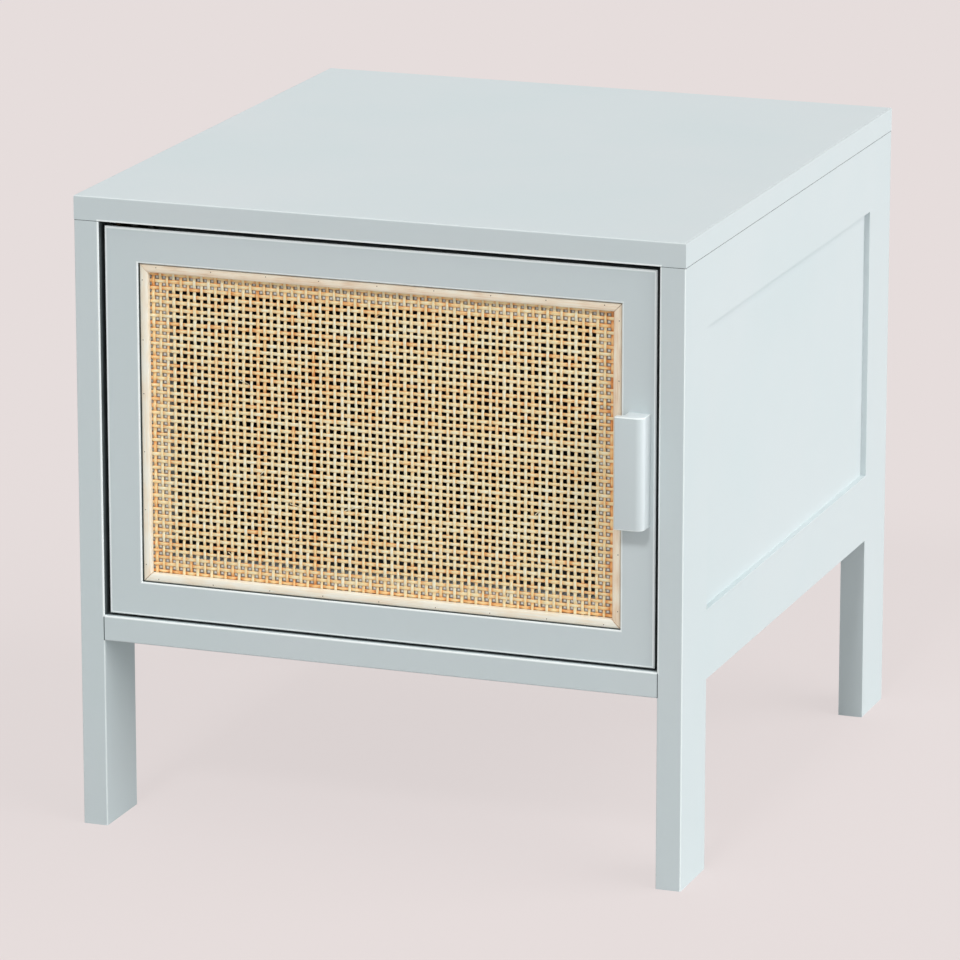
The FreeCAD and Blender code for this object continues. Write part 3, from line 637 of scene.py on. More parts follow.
def loft(name, strips, tones=None, grains=None):
    """A mesh from strips of rings. Each strip is an array of rings by corners by xyz, closed at both ends."""
    verts = np.concatenate([strip.reshape(-1, 3) for strip in strips])
    tones = np.zeros(len(verts)) if tones is None else np.concatenate(tones)
    grains = verts if grains is None else np.concatenate(grains)
    faces, maps = [], []
    first = 0
    for number, strip in enumerate(strips):
        rings, corners = strip.shape[:2]
        for ring in range(rings - 1):
            for corner in range(corners):
                after = (corner + 1) % corners
                low, high = first + ring * corners, first + (ring + 1) * corners
                faces.append((low + corner, low + after, high + after, high + corner))
                left, right = number + corner / corners, number + (corner + 1) / corners
                maps += [(left, ring), (right, ring), (right, ring + 1), (left, ring + 1)]
        last = first + (rings - 1) * corners
        faces.append(tuple(range(first + corners - 1, first - 1, -1)))
        faces.append(tuple(range(last, last + corners)))
        # On the map each end face is one point, just off its end of the strip.
        maps += [(number + 0.5, -0.2)] * corners + [(number + 0.5, rings - 0.8)] * corners
        first += rings * corners
    mesh = bpy.data.meshes.new(name)
    mesh.from_pydata(verts.tolist(), [], faces)
    mesh.attributes.new("tone", "FLOAT", "POINT").data.foreach_set("value", tones)
    mesh.attributes.new("grain", "FLOAT_VECTOR", "POINT").data.foreach_set("vector", grains.ravel())
    longest = max(strip.shape[0] for strip in strips)
    scaled = np.array(maps) / (len(strips), longest + 1) + (0, 0.5 / longest)
    mesh.uv_layers.new(name="OFBake").data.foreach_set("uv", scaled.ravel())
    turned_out = bmesh.new()
    turned_out.from_mesh(mesh)
    bmesh.ops.recalc_face_normals(turned_out, faces=turned_out.faces)
    turned_out.to_mesh(mesh)
    turned_out.free()
    mesh.shade_smooth()
    mesh.set_sharp_from_angle(angle=SHARP_ANGLE)
    mesh.validate()
    return mesh


print("Edges that turn by more than", round(math.degrees(SHARP_ANGLE)), "degrees stay sharp.")

# %% Write the helpers for new pieces
def grain_at(along, across, through):
    """Each point's place along, across and through a piece."""
    return np.stack(np.broadcast_arrays(along, across, through), axis=-1).reshape(-1, 3)


def new_piece(name, mesh, material, body):
    """Put a finished mesh in the scene on a body of the frame."""
    mesh.materials.append(material)
    piece = set_out(name, mesh)
    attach(piece, body)
    return piece


# %% [markdown]
# ## Woven cane
# The door's panel is machine-woven cane: flat strands a little over 2 mm wide, upright ones and level ones,
# each passing over one and under the next. A flat card with a picture of holes would be quicker, but light
# has to fall through real holes here, and the edge of every strand catches it. So each strand is lofted along
# a wave that rises over a crossing and dips under the next one. No two strands of a plant are alike: each has
# its own width, a small sideways drift and its own colour, pale cream, straw, peach or orange brown.

# %% Draw the wave
chance = np.random.default_rng(41)
RINGS_PER_CROSSING = 4
SPACING_SCATTER = 0.10 * MM


def scattered(lines):
    """Middle lines, each moved a little off its even spacing."""
    most = 2 * SPACING_SCATTER
    return lines + chance.normal(0, SPACING_SCATTER, len(lines)).clip(-most, most)


def wave_line(crossings, low, high, first_over):
    """Places along a strand from end to end, and how far it is lifted to the front at each."""
    knots = np.concatenate([[low], crossings, [high]])
    signs = np.where((np.arange(len(crossings)) + first_over) % 2 == 0, 1.0, -1.0)
    lifts = np.concatenate([[-signs[0]], signs, [-signs[-1]]])
    shares = np.arange(RINGS_PER_CROSSING) / RINGS_PER_CROSSING
    places = (knots[:-1, None] + np.diff(knots)[:, None] * shares).ravel()
    eased = (1 - np.cos(np.pi * shares)) / 2
    heights = (lifts[:-1, None] + np.diff(lifts)[:, None] * eased).ravel()
    return np.append(places, high), np.append(heights, lifts[-1])


print("The wave lifts each strand", round(weave_lift / MM, 2), "mm to each side.")

# %% Weave one strand
# A sway is a sine wave, in radians for each metre along the strand.
SECTION = np.array([(-0.5, 0.0), (-0.3, 0.5), (0.3, 0.5), (0.5, 0.0), (0.3, -0.5), (-0.3, -0.5)])
STRAND_THICKNESS = 0.62 * MM
SIDEWAYS_DRIFT = 0.16 * MM
SLOW_SWAY, QUICK_SWAY, QUICK_SHARE = 34, 81, 0.6
WIDTH_RANGE = (0.88, 1.08)
WIDTH_SWAY, WIDTH_CHANGE = 140, 0.07
TONE_MIDDLE = 0.60
TONE_SPREAD = 0.06
# Painted light and shade: a strand is paler over a crossing, darker under one, and darker at its sides.
CROSSING_LIGHT = 0.17
SIDE_SHADE_TONE = -0.22
RARE_WARM = 0.05
RARE_WARMTH = 0.28
EDGE_WARMTH = 0.22
EDGE_REACH = 22 * MM


def edge_warmth(places, low, high):
    """Near the panel's edges the strands are a little more orange."""
    inside = np.minimum(places - low, high - places)
    return EDGE_WARMTH * (1 - inside / EDGE_REACH).clip(0, 1)


def strand(line, full_width, along, places, heights, warmth, seed):
    """One strand's rings, tones and grain. It runs on the axis along: 0 is X, and 2 is Z."""
    across = 2 - along
    phase = chance.uniform(0, 2 * math.pi, 2)
    sway = np.sin(places * SLOW_SWAY + phase[0]) + QUICK_SHARE * np.sin(places * QUICK_SWAY + phase[1])
    path = np.zeros((len(places), 3))
    path[:, along] = places
    path[:, across] = line + SIDEWAYS_DRIFT * sway
    path[:, 1] = cane_middle - weave_lift * heights
    way = np.gradient(path, axis=0)
    way /= np.linalg.norm(way, axis=1)[:, None]
    over = np.zeros((len(places), 3))
    over[:, across] = 1
    front = np.cross(way, over)
    front *= -np.sign(front[:, 1])[:, None]
    width = full_width * chance.uniform(*WIDTH_RANGE)
    widths = width * (1 + WIDTH_CHANGE * np.sin(places * WIDTH_SWAY + phase[1] * 3))
    rings = path[:, None] + over[:, None] * SECTION[:, 0, None] * widths[:, None, None]
    rings = rings + front[:, None] * SECTION[:, 1, None] * STRAND_THICKNESS
    rare = RARE_WARMTH if along == 2 and chance.random() < RARE_WARM else 0.0
    tone = chance.normal(TONE_MIDDLE, TONE_SPREAD) - warmth - rare
    # Painted shade at the strand's sides, and painted light and shade where it rises and dips.
    sides = SIDE_SHADE_TONE * (np.abs(SECTION[:, 0]) == 0.5)
    ends = edge_warmth(places, places[0], places[-1])
    crossing_light = CROSSING_LIGHT * heights[:, None] * np.sign(SECTION[:, 1])
    tones = (tone + crossing_light - ends[:, None] + sides).clip(0, 1)
    return rings, tones.ravel(), grain_at(places[:, None], SECTION[:, 0] * width, seed)


print("From one crossing to the next a strand has", RINGS_PER_CROSSING * len(SECTION), "faces.")

# %% [markdown]
# ## The look of cane
# Up close each strand is a bundle of fibres: fine lines run along it, its pale skin shines a little, and
# slow patches of straw, peach and orange pass along its length. The strand's own tone, kept by `loft`, sets
# where on a colour line it starts, and noise stretched along the grain moves it up and down from there. The
# bare wood of the beads works the same way, so `grained` mixes both.

# %% Write the helpers for grain
def stretched(tree, scales, swing, ends=WIDE, **fineness):
    """Noise pulled into long lines along the grain, and the same noise as a swing of the tone."""
    grain = put(tree, "Attribute", {}, attribute_name="grain").outputs["Vector"]
    place = put(tree, "VectorMath", {0: grain, 1: scales}, operation="MULTIPLY").outputs["Vector"]
    lines = noise(tree, place, 1.0, **fineness)
    return lines, between(tree, lines, -swing, swing, *ends)


def grained(name, stops, patch, fibre, roughness, depth):
    """Fibres of one tone that slow patches and fine lines move along a line of colours."""
    material, tree, shader = start_material(name)
    tone = put(tree, "Attribute", {}, attribute_name="tone").outputs["Fac"]
    _, slow = stretched(tree, **patch)
    lines, fine = stretched(tree, **fibre)
    inputs = {
        "Base Color": ramp(tree, reckon(tree, "ADD", reckon(tree, "ADD", slow, tone), fine), stops),
        "Roughness": between(tree, lines, *roughness),
        "Normal": bump(tree, lines, depth),
    }
    feed(tree, shader, inputs)
    return material


print("Noise along the grain is cut off at", WIDE, "unless a finish says otherwise.")

# %% Mix the cane
CANE_STOPS = [
    (0.00, tint(212, 132, 66)),
    (0.19, tint(248, 175, 104)),
    (0.34, tint(255, 207, 141)),
    (0.52, tint(255, 228, 172)),
    (0.73, tint(255, 241, 199)),
    (1.00, tint(255, 251, 226)),
]
CANE_PATCH = {"scales": (70.0, 0.0, 61.0), "swing": 0.38, "ends": (0.2, 0.8), "detail": 3.0}
CANE_FIBRE = {"scales": (90.0, 1500.0, 61.0), "swing": 0.20, "detail": 2.0}
CANE_ROUGHNESS = (0.38, 0.58)
CANE_DEPTH = 0.05 * MM

cane = grained("cane", CANE_STOPS, CANE_PATCH, CANE_FIBRE, CANE_ROUGHNESS, CANE_DEPTH)
print("The cane's colour line has", len(CANE_STOPS), "stops.")

# %% Weave the panel
# The upright strands are paler than the level ones, so they have the lower warmth.
UPRIGHT_WARMTH = -0.09
LEVEL_WARMTH = 0.03
SEED_SHIFT = 0.37

column_places = scattered(column_lines)
row_places = scattered(row_lines)


def weave(name, node, along, lines, width, crossings, ends, warmth, first_over):
    """All the strands of one direction as one piece, which stands for its node of the frame."""
    parts = []
    for number, line in enumerate(lines):
        places, heights = wave_line(crossings, *ends, number + first_over)
        warmer = warmth + edge_warmth(line, lines[0], lines[-1])
        parts.append(strand(line, width, along, places, heights, warmer, number + SEED_SHIFT * along))
    piece = new_piece(name, loft(name, *zip(*parts)), cane, "door")
    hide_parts(node)
    print(piece.name, "has", len(piece.data.polygons), "faces.")


column_ends = (columns_low.z, columns_high.z)
row_ends = (rows_low.x, rows_high.x)
upright = (column_places, COLUMN_WIDTH, row_places, column_ends, UPRIGHT_WARMTH)
level = (row_places, ROW_WIDTH, column_places, row_ends, LEVEL_WARMTH)
weave("upright_strands", "cane_columns", 2, *upright, first_over=0)
weave("level_strands", "cane_rows", 0, *level, first_over=1)

# %% [markdown]
# ## Beads of bare wood
# Four thin beads hold the cane down in its rabbet. They are ripped from one pale board, crowned in front,
# mitred at the corners and pinned with small brads. They don't quite fill the rabbet, so a thin dark line
# stays between bead and frame, a little wider at the top and the left. A bevelled box would look moulded, so
# each bead is lofted from its own section, and each mitre is simply a section whose points step back at 45
# degrees.

# %% Measure the beads
BEAD_GAPS = {"top": 0.50 * MM, "bottom": 0.40 * MM, "left": 0.60 * MM, "right": 0.25 * MM}

bead_boxes = {name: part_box(f"bead_{name}") for name in BEAD_GAPS}
bead_front = bead_boxes["top"][0].y
bead_back = bead_boxes["top"][1].y
bead_width = bead_boxes["top"][1].z - bead_boxes["top"][0].z
bead_left = bead_boxes["left"][0].x + BEAD_GAPS["left"]
bead_right = bead_boxes["right"][1].x - BEAD_GAPS["right"]
bead_low = bead_boxes["bottom"][0].z + BEAD_GAPS["bottom"]
bead_high = bead_boxes["top"][1].z - BEAD_GAPS["top"]

RIGHT, UP = Vector((1, 0, 0)), Vector((0, 0, 1))
top_left, top_right = Vector((bead_left, 0, bead_high)), Vector((bead_right, 0, bead_high))
low_left, low_right = Vector((bead_left, 0, bead_low)), Vector((bead_right, 0, bead_low))
BEAD_RUNS = {
    "top": (top_left, top_right, -UP),
    "bottom": (low_left, low_right, UP),
    "left": (low_left, top_left, RIGHT),
    "right": (low_right, top_right, -RIGHT),
}
bead_thickness = bead_back - bead_front
print("The beads are", round(bead_width / MM, 1), "mm wide and", round(bead_thickness / MM, 1), "mm thick.")

# %% Loft one bead
# The end faces are darker, a painted shade in the mitre gaps, and the bead is pale again a hair's width away.
# Its edge wavers by two sine waves, in radians for each metre along it.
# Painted light and shade: the top and right beads get darker tones, and the bottom and left ones paler.
BEAD_LIT_TONES = {"top": 0.60, "bottom": 0.90, "left": 0.84, "right": 0.58}
MITRE_GAPS = {"top": 0.10 * MM, "bottom": 0.28 * MM, "left": 0.10 * MM, "right": 0.28 * MM}
MITRE_SHADE = 0.3
MITRE_SHADE_REACH = 0.0006
BEAD_CROWN = 1.1 * MM
CROWN_FULLNESS = 0.8
CROWN_POINTS = 9
BEAD_RINGS = 50
BEAD_WAVE = 0.10 * MM
QUICK_WAVE, SLOW_WAVE = 37, 11


def crown(rise):
    """How far back the crowned face lies, where a half circle in its place has risen by a share."""
    return bead_front + BEAD_CROWN * (1 - rise**CROWN_FULLNESS)


def bead_section(width):
    """Inward and backward places round a bead's section, from its outer back corner over the crown."""
    turns = np.linspace(0, math.pi, CROWN_POINTS)
    inward = width / 2 * (1 - np.cos(turns))
    face = np.stack([inward, crown(np.sin(turns))], axis=1)
    return np.concatenate([[(0, bead_back)], face, [(width, bead_back)]])


def bead(name, start, end, inward, seed):
    """One mitred bead from a corner of the rabbet to the next."""
    across, backward = bead_section(bead_width - BEAD_GAPS[name]).T
    way = (end - start).normalized()
    step_back = MITRE_GAPS[name] + across
    shares = np.linspace(MITRE_SHADE_REACH, 1 - MITRE_SHADE_REACH, BEAD_RINGS - 2)
    shares = np.concatenate([[0], shares, [1]])[:, None]
    along = step_back + shares * ((end - start).length - 2 * step_back)
    wave = BEAD_WAVE * np.sin(along * QUICK_WAVE + seed) * np.sin(along * SLOW_WAVE + 2 * seed) * (across > 0)
    rings = np.array(start) + along[..., None] * np.array(way)
    rings += (across + wave)[..., None] * np.array(inward)
    rings[..., 1] = backward
    tones = np.full(along.shape, BEAD_LIT_TONES[name])
    tones[[0, -1]] *= MITRE_SHADE
    return rings, tones.ravel(), grain_at(along, across, seed)


print("A bead's face is crowned by", round(BEAD_CROWN / MM, 1), "mm.")

# %% Mix the bare wood
BEAD_STOPS = [
    (0.00, tint(214, 180, 146)),
    (0.30, tint(237, 209, 178)),
    (0.55, tint(251, 232, 206)),
    (0.80, tint(255, 245, 223)),
    (1.00, tint(255, 252, 238)),
]
WOOD_PATCH = {"scales": (55.0, 130.0, 17.0), "swing": 0.25, "detail": 2.0}
WOOD_FIBRE = {"scales": (26.0, 1900.0, 17.0), "swing": 0.35, "detail": 4.0, "roughness": 0.65}
WOOD_ROUGHNESS = (0.55, 0.75)
WOOD_DEPTH = 0.08 * MM
FIRST_SEED = 1.7

bead_wood = grained("bead_wood", BEAD_STOPS, WOOD_PATCH, WOOD_FIBRE, WOOD_ROUGHNESS, WOOD_DEPTH)
for number, (name, (start, end, inward)) in enumerate(BEAD_RUNS.items()):
    rings, tones, grain = bead(name, start, end, inward, FIRST_SEED + number)
    mesh = loft(f"{name}_bead", [rings], [tones], [grain])
    piece = new_piece(f"{name}_bead", mesh, bead_wood, "door")
    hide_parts(f"bead_{name}")
    print(piece.name, "has", len(piece.data.polygons), "faces.")

# %% [markdown]
# ## The pull
# The pull is a painted bar with an L section: a base on the door's stile, and a lip that leaves room for the
# fingertips behind it. Its front corner is a wide round. A bevel modifier would round every edge alike, so
# the section is drawn once as straight runs and arcs, each with its own radius, and repeated along the bar.
# Each end is drawn in along a small quarter circle so that it has no sharp edge.

# %% Draw the pull's section
ARC_STEPS = 10
PULL_FRONT_ROUND = 6.0 * MM
PULL_INNER_ROUND = 3.0 * MM
PULL_LIP_ROUND = 1.0 * MM
PULL_LIP = 5.0 * MM
PULL_BASE = 15.5 * MM

pull_low, pull_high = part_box("handle")


def arc(centre_x, centre_y, radius, start, end):
    """Points and outward directions along an arc, in degrees. A negative radius is a hollow arc."""
    turns = np.radians(np.linspace(start, end, ARC_STEPS + 1))
    ways = np.stack([np.cos(turns), np.sin(turns)], axis=1)
    return np.array([centre_x, centre_y]) + abs(radius) * ways, np.sign(radius) * ways


def pull_section():
    """The L section from its outer back corner round the front to its inner back corner."""
    left, right = pull_low.x, pull_high.x
    front, back = pull_low.y, pull_high.y
    base_left, lip_back = right - PULL_BASE, front + PULL_LIP
    arcs = [
        arc(right - PULL_FRONT_ROUND, front + PULL_FRONT_ROUND, PULL_FRONT_ROUND, 0, -90),
        arc(left + PULL_LIP_ROUND, front + PULL_LIP_ROUND, PULL_LIP_ROUND, -90, -180),
        arc(left + PULL_LIP_ROUND, lip_back - PULL_LIP_ROUND, PULL_LIP_ROUND, 180, 90),
        arc(base_left - PULL_INNER_ROUND, lip_back + PULL_INNER_ROUND, -PULL_INNER_ROUND, -90, 0),
    ]
    points = np.concatenate([[(right, back)]] + [points for points, _ in arcs] + [[(base_left, back)]])
    ways = np.concatenate([[(1, 0)]] + [ways for _, ways in arcs] + [[(-1, 0)]])
    return points, ways


_, proud, tall = (round(side / MM, 1) for side in pull_high - pull_low)
print("The pull is", tall, "mm tall and stands", proud, "mm proud of the door.")

# %% Make the pull
PULL_END_ROUND = 0.7 * MM
END_STEPS = 5


def pull_mesh():
    """The whole bar as rings of the section, drawn in at both ends."""
    points, ways = pull_section()
    turns = np.radians(np.linspace(0, 90, END_STEPS + 1))
    inset = PULL_END_ROUND * (1 - np.sin(turns))
    rise = PULL_END_ROUND * (1 - np.cos(turns))
    insets = np.concatenate([inset, inset[::-1]])
    heights = np.concatenate([pull_low.z + rise, pull_high.z - rise[::-1]])
    rings = np.zeros((len(heights), len(points), 3))
    rings[..., :2] = points - ways * insets[:, None, None]
    rings[..., 2] = heights[:, None]
    return loft("pull", [rings])


pull = new_piece("pull", pull_mesh(), pull_paint, "door")
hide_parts("handle")
print("The pull has", len(pull.data.polygons), "faces.")

# %% [markdown]
# ## Metal, plastic and bare dowels
# The fittings are small, and most of them only show when the door is open or from behind. Each still gets a
# finish of its own: brushed or cast metal is a metallic shader whose roughness and colour drift with noise,
# and moulded plastic has a fine spark-eroded grain. The hinge leaves have a dark bronze patina, so that they
# stay quiet in the gap over the door.

# %% Mix the metals
METAL_CLOUD = 180.0
METAL_SHADE = 0.10
DULLER, BRIGHTER = 0.10, 0.08


def metal(name, dark, bright, roughness, grain_size, grain_depth):
    """A metal with a fine grain: colour and roughness drift from place to place."""
    material, tree, shader = start_material(name)
    place = put(tree, "TexCoord", {}).outputs["Object"]
    cloud = noise(tree, place, METAL_CLOUD, detail=3.0)
    grain = noise(tree, place, 1 / grain_size, detail=3.0, roughness=0.6)
    inputs = {
        "Base Color": shade(tree, ramp(tree, cloud, [(0.3, dark), (0.7, bright)]), grain, METAL_SHADE),
        "Metallic": 1.0,
        "Roughness": between(tree, grain, roughness - BRIGHTER, roughness + DULLER, *WIDE),
        "Normal": bump(tree, grain, grain_depth),
    }
    feed(tree, shader, inputs)
    return material


zinc = metal("zinc", tint(128, 130, 132), tint(158, 160, 160), 0.48, 0.5 * MM, 0.01 * MM)
screw_steel = metal("screw_steel", tint(150, 152, 150), tint(196, 197, 192), 0.32, 0.3 * MM, 0.004 * MM)
hinge_bronze = metal("hinge_bronze", tint(58, 48, 38), tint(84, 70, 54), 0.46, 0.4 * MM, 0.006 * MM)
plate_steel = metal("plate_steel", tint(140, 142, 144), tint(172, 174, 175), 0.38, 0.3 * MM, 0.004 * MM)
print("Metals:", [finish.name for finish in (zinc, screw_steel, hinge_bronze, plate_steel)])

# %% Mix the plastics and the dowels' wood
MOULD_GRAIN = 2600.0
MOULD_CLOUD = 120.0
CLOUD_SHADE, GRAIN_SHADE = 0.04, 0.05
MOULD_SPREAD = 0.06
FLECK_SCALE = 1400.0
FLECK_STOPS = [(0.3, tint(176, 132, 96)), (0.5, tint(206, 166, 126)), (0.7, tint(220, 184, 146))]
FLECK_DEPTH = 0.03 * MM
DOWEL_ROUGHNESS = 0.7


def moulded(name, colour, roughness, grain_depth):
    """A moulded part with a fine eroded grain."""
    material, tree, shader = start_material(name)
    place = put(tree, "TexCoord", {}).outputs["Object"]
    grain = noise(tree, place, MOULD_GRAIN, detail=3.0, roughness=0.6)
    cloud = noise(tree, place, MOULD_CLOUD, detail=2.0)
    inputs = {
        "Base Color": shade(tree, shade(tree, colour, cloud, CLOUD_SHADE), grain, GRAIN_SHADE),
        "Roughness": between(tree, grain, roughness - MOULD_SPREAD, roughness + MOULD_SPREAD, *NARROW),
        "Normal": bump(tree, grain, grain_depth),
    }
    feed(tree, shader, inputs)
    return material


def dowel_wood():
    """Beech dowels: pinkish brown with small dark flecks."""
    material, tree, shader = start_material("raw_wood")
    place = put(tree, "TexCoord", {}).outputs["Object"]
    fleck = noise(tree, place, FLECK_SCALE, detail=4.0, roughness=0.7)
    colour = ramp(tree, fleck, FLECK_STOPS)
    normal = bump(tree, fleck, FLECK_DEPTH)
    feed(tree, shader, {"Base Color": colour, "Roughness": DOWEL_ROUGHNESS, "Normal": normal})
    return material


LEAVES = [f"{end}_hinge_{side}_leaf" for end in ("upper", "lower") for side in ("cabinet", "door")]
FITTINGS = {
    **dict.fromkeys(["hinge_pins", *LEAVES], hinge_bronze),
    "cam_bolts": zinc,
    "strike_plate": plate_steel,
    "carcass_dowels": dowel_wood(),
    "thrust_washer": moulded("nylon", tint(62, 61, 58), 0.45, 0.004 * MM),
    "catch_housing": moulded("catch_plastic", tint(222, 222, 218), 0.42, 0.010 * MM),
    "catch_magnet": moulded("magnet", tint(46, 46, 48), 0.62, 0.010 * MM),
}
for node, material in FITTINGS.items():
    finish_node(node, material)
print(len(FITTINGS), "fittings of the frame have their finish.")

# %% [markdown]
# ## Screws and cam locks
# The construction holds every fastener at its place with plain outlines. The finished ones have what a hand
# would look for: a cross for the screwdriver, a real thread, and a bolt's hole in the cam. One fastener of
# each size is lofted and carved with a boolean cut, then copied to each seat. Modelling the cross by hand,
# face by face, would give the same shape with far more work. Each screw is turned by its own chance angle,
# because nobody lines up the slots of hidden screws.

# %% Find where the small parts sit
# Points closer than this are one point. An exact cut can leave such pairs behind.
MERGE_REACH = 0.001 * MM


def loose_parts(node):
    """The corner points of each separate solid of a node."""
    mesh = bmesh.new()
    mesh.from_mesh(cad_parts[node].data)
    bmesh.ops.remove_doubles(mesh, verts=mesh.verts, dist=MERGE_REACH)
    parts, seen = [], set()
    for first in mesh.verts:
        if first in seen:
            continue
        seen.add(first)
        reached, fresh = [first], [first]
        while fresh:
            for edge in fresh.pop().link_edges:
                for other in edge.verts:
                    if other not in seen:
                        seen.add(other)
                        reached.append(other)
                        fresh.append(other)
        parts.append(np.array([vert.co for vert in reached]))
    mesh.free()
    return parts


print("The frame holds", len(loose_parts("back_screws")), "back screws.")

# %% Write the helpers for round pieces and cutters
# How wide the cutter is, as a share of the cross, just above the face, and then at shares of its depth.
CUTTER_TOP = (1.06, 0.3 * MM)
CROSS_TAPER = ((0.95, 0.4), (0.35, 1.0))


def round_rings(stations, corners=24):
    """Rings round the Z axis from (height, radius) stations."""
    turns = np.arange(corners) * 2 * math.pi / corners
    heights, radii = np.array(stations).T
    rings = np.zeros((len(stations), corners, 3))
    rings[..., 0] = radii[:, None] * np.cos(turns)
    rings[..., 1] = radii[:, None] * np.sin(turns)
    rings[..., 2] = heights[:, None]
    return rings


def plain_loft(name, rings):
    """A loft to be cut or copied, which would spoil its flat map."""
    mesh = loft(name, [rings])
    mesh.uv_layers.remove(mesh.uv_layers["OFBake"])
    return mesh


def cross_cutter(reach, width, depth):
    """A tapering cross that a screwdriver's tip would fill."""
    corners = [(reach, width), (width, width), (width, reach)]
    quarter_turns = [(1, 0), (0, 1), (-1, 0), (0, -1)]
    outline = np.array([(x * c - y * s, x * s + y * c) for c, s in quarter_turns for x, y in corners])
    levels = [CUTTER_TOP] + [(scale, -share * depth) for scale, share in CROSS_TAPER]
    rings = np.zeros((len(levels), len(outline), 3))
    for ring, (scale, height) in zip(rings, levels):
        ring[:, :2] = outline * scale
        ring[:, 2] = height
    return plain_loft("cross_cutter", rings)


print(f"A cross narrows to {CROSS_TAPER[-1][0]:.0%} of its width at its tip.")

# %% Write the helpers that cut and copy
CUT_SHARP_ANGLE = math.radians(35)


def carved(mesh, cutters):
    """A copy of a mesh with other meshes cut out of it."""
    blank = set_out("blank", mesh)
    tools = []
    for cutter in cutters:
        tool = set_out("cutter", cutter)
        cut = blank.modifiers.new("cut", "BOOLEAN")
        cut.operation = "DIFFERENCE"
        cut.solver = "EXACT"
        cut.object = tool
        tools.append(tool)
    shapes = bpy.context.evaluated_depsgraph_get()
    result = bpy.data.meshes.new_from_object(blank.evaluated_get(shapes))
    for thing in [blank, *tools]:
        bpy.data.objects.remove(thing)
    merged = bmesh.new()
    merged.from_mesh(result)
    bmesh.ops.remove_doubles(merged, verts=merged.verts, dist=MERGE_REACH)
    bmesh.ops.dissolve_degenerate(merged, edges=merged.edges, dist=MERGE_REACH)
    merged.to_mesh(result)
    merged.free()
    return result


def copies(name, mesh, seats):
    """One mesh with a copy at every seat."""
    whole = bmesh.new()
    for seat in seats:
        part = mesh.copy()
        part.transform(seat)
        whole.from_mesh(part)
    result = bpy.data.meshes.new(name)
    whole.to_mesh(result)
    whole.free()
    result.shade_smooth()
    result.set_sharp_from_angle(angle=CUT_SHARP_ANGLE)
    return result


print("Cut pieces stay sharp above", round(math.degrees(CUT_SHARP_ANGLE)), "degrees.")

# %% Find the screws' seats
# Each node of screws has its body and the radius of its shanks.
HEAD_FIT = 0.965
SMALL_SHANK = 1.5 * MM
PULL_SHANK = 2.0 * MM
NEAR_END = 0.1 * MM
SCREWS = {
    "back_screws": ("cabinet", SMALL_SHANK),
    "cabinet_leaf_screws": ("cabinet", SMALL_SHANK),
    "catch_screws": ("cabinet", SMALL_SHANK),
    "handle_screws": ("door", PULL_SHANK),
    "door_leaf_screws": ("door", SMALL_SHANK),
    "strike_screws": ("door", SMALL_SHANK),
}


def screw_seat(points):
    """Where a screw's head is, which way it faces, its head's radius and its length."""
    low, high = points.min(axis=0), points.max(axis=0)
    axis = int(np.argmax(high - low))
    middle = (low + high) / 2
    ends = []
    for sign, end in ((-1, low), (1, high)):
        ring = points[np.abs(points[:, axis] - end[axis]) < NEAR_END] - middle
        ends.append((np.abs(np.delete(ring, axis, axis=1)).max(), sign, end[axis]))
    radius, sign, place = max(ends)
    middle[axis] = place
    outward = Vector([sign * (number == axis) for number in range(3)])
    return Vector(middle), outward, float(radius), float((high - low)[axis])


screw_seats = {node: [screw_seat(points) for points in loose_parts(node)] for node in SCREWS}
print("Screws to cut:", {node: len(seats) for node, seats in screw_seats.items()})

# %% Cut the screws
# The cross's reach, half its arms' width and its depth are shares of the head's radius. The thread's depth
# is a share of the shank's.
SCREW_CROSS = (0.60, 0.12, 0.55)
RIM_INSET, RIM_DROP = 0.1 * MM, 0.08 * MM
NECK_DROP = 0.2 * MM
PLAIN_SHANK = 1.2 * MM
THREAD_PITCH = 1.1 * MM
RINGS_PER_TURN = 4
THREAD_DEPTH = 0.16
THREAD_ABOVE_TIP = 0.2 * MM
SCREW_TIP = 3.0 * MM
TIP_STATIONS = ((0.4 * MM, 0.5 * MM), (0.0, 0.15 * MM))


def threaded(rings, start, end):
    """Rings whose points sink and rise along a thread that winds down the shank."""
    heights = rings[..., 2]
    turn = np.arctan2(rings[..., 1], rings[..., 0]) / (2 * math.pi)
    winding = (heights / THREAD_PITCH + turn) % 1
    depth = THREAD_DEPTH * (1 - np.abs(2 * winding - 1)) * ((heights < start) & (heights > end))
    rings[..., :2] *= (1 - depth)[..., None]
    return rings


def screw_mesh(name, head, shank, length):
    """A countersunk cross-head screw, with its head's top at the origin and its shank downwards."""
    neck = -(head - shank) - NECK_DROP
    tip = SCREW_TIP - length
    stations = [(0.0, head - RIM_INSET), (-RIM_DROP, head), (neck, shank)]
    heights = np.arange(neck - PLAIN_SHANK, tip, -THREAD_PITCH / RINGS_PER_TURN)
    stations += [(height, shank) for height in heights]
    stations += [(tip, shank)] + [(-length + rise, radius) for rise, radius in TIP_STATIONS]
    rings = threaded(round_rings(stations), neck - MM, tip + THREAD_ABOVE_TIP)
    return carved(plain_loft(name, rings[::-1]), [cross_cutter(*(share * head for share in SCREW_CROSS))])


turning = np.random.default_rng(7)
for node, (body, shank) in SCREWS.items():
    seats = screw_seats[node]
    head, length = seats[0][2] * HEAD_FIT, seats[0][3]
    template = screw_mesh(node, head, shank * HEAD_FIT, length)
    places = []
    for top, outward, _, _ in seats:
        face = UP.rotation_difference(outward).to_matrix().to_4x4()
        places.append(Matrix.Translation(top) @ face @ Matrix.Rotation(turning.uniform(0, math.pi), 4, "Z"))
    name = node.replace("screws", "cross_heads")
    piece = new_piece(name, copies(name, template, places), screw_steel, body)
    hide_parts(node)
    print(name, "has", len(places), "screws", round(length / MM), "mm long.")

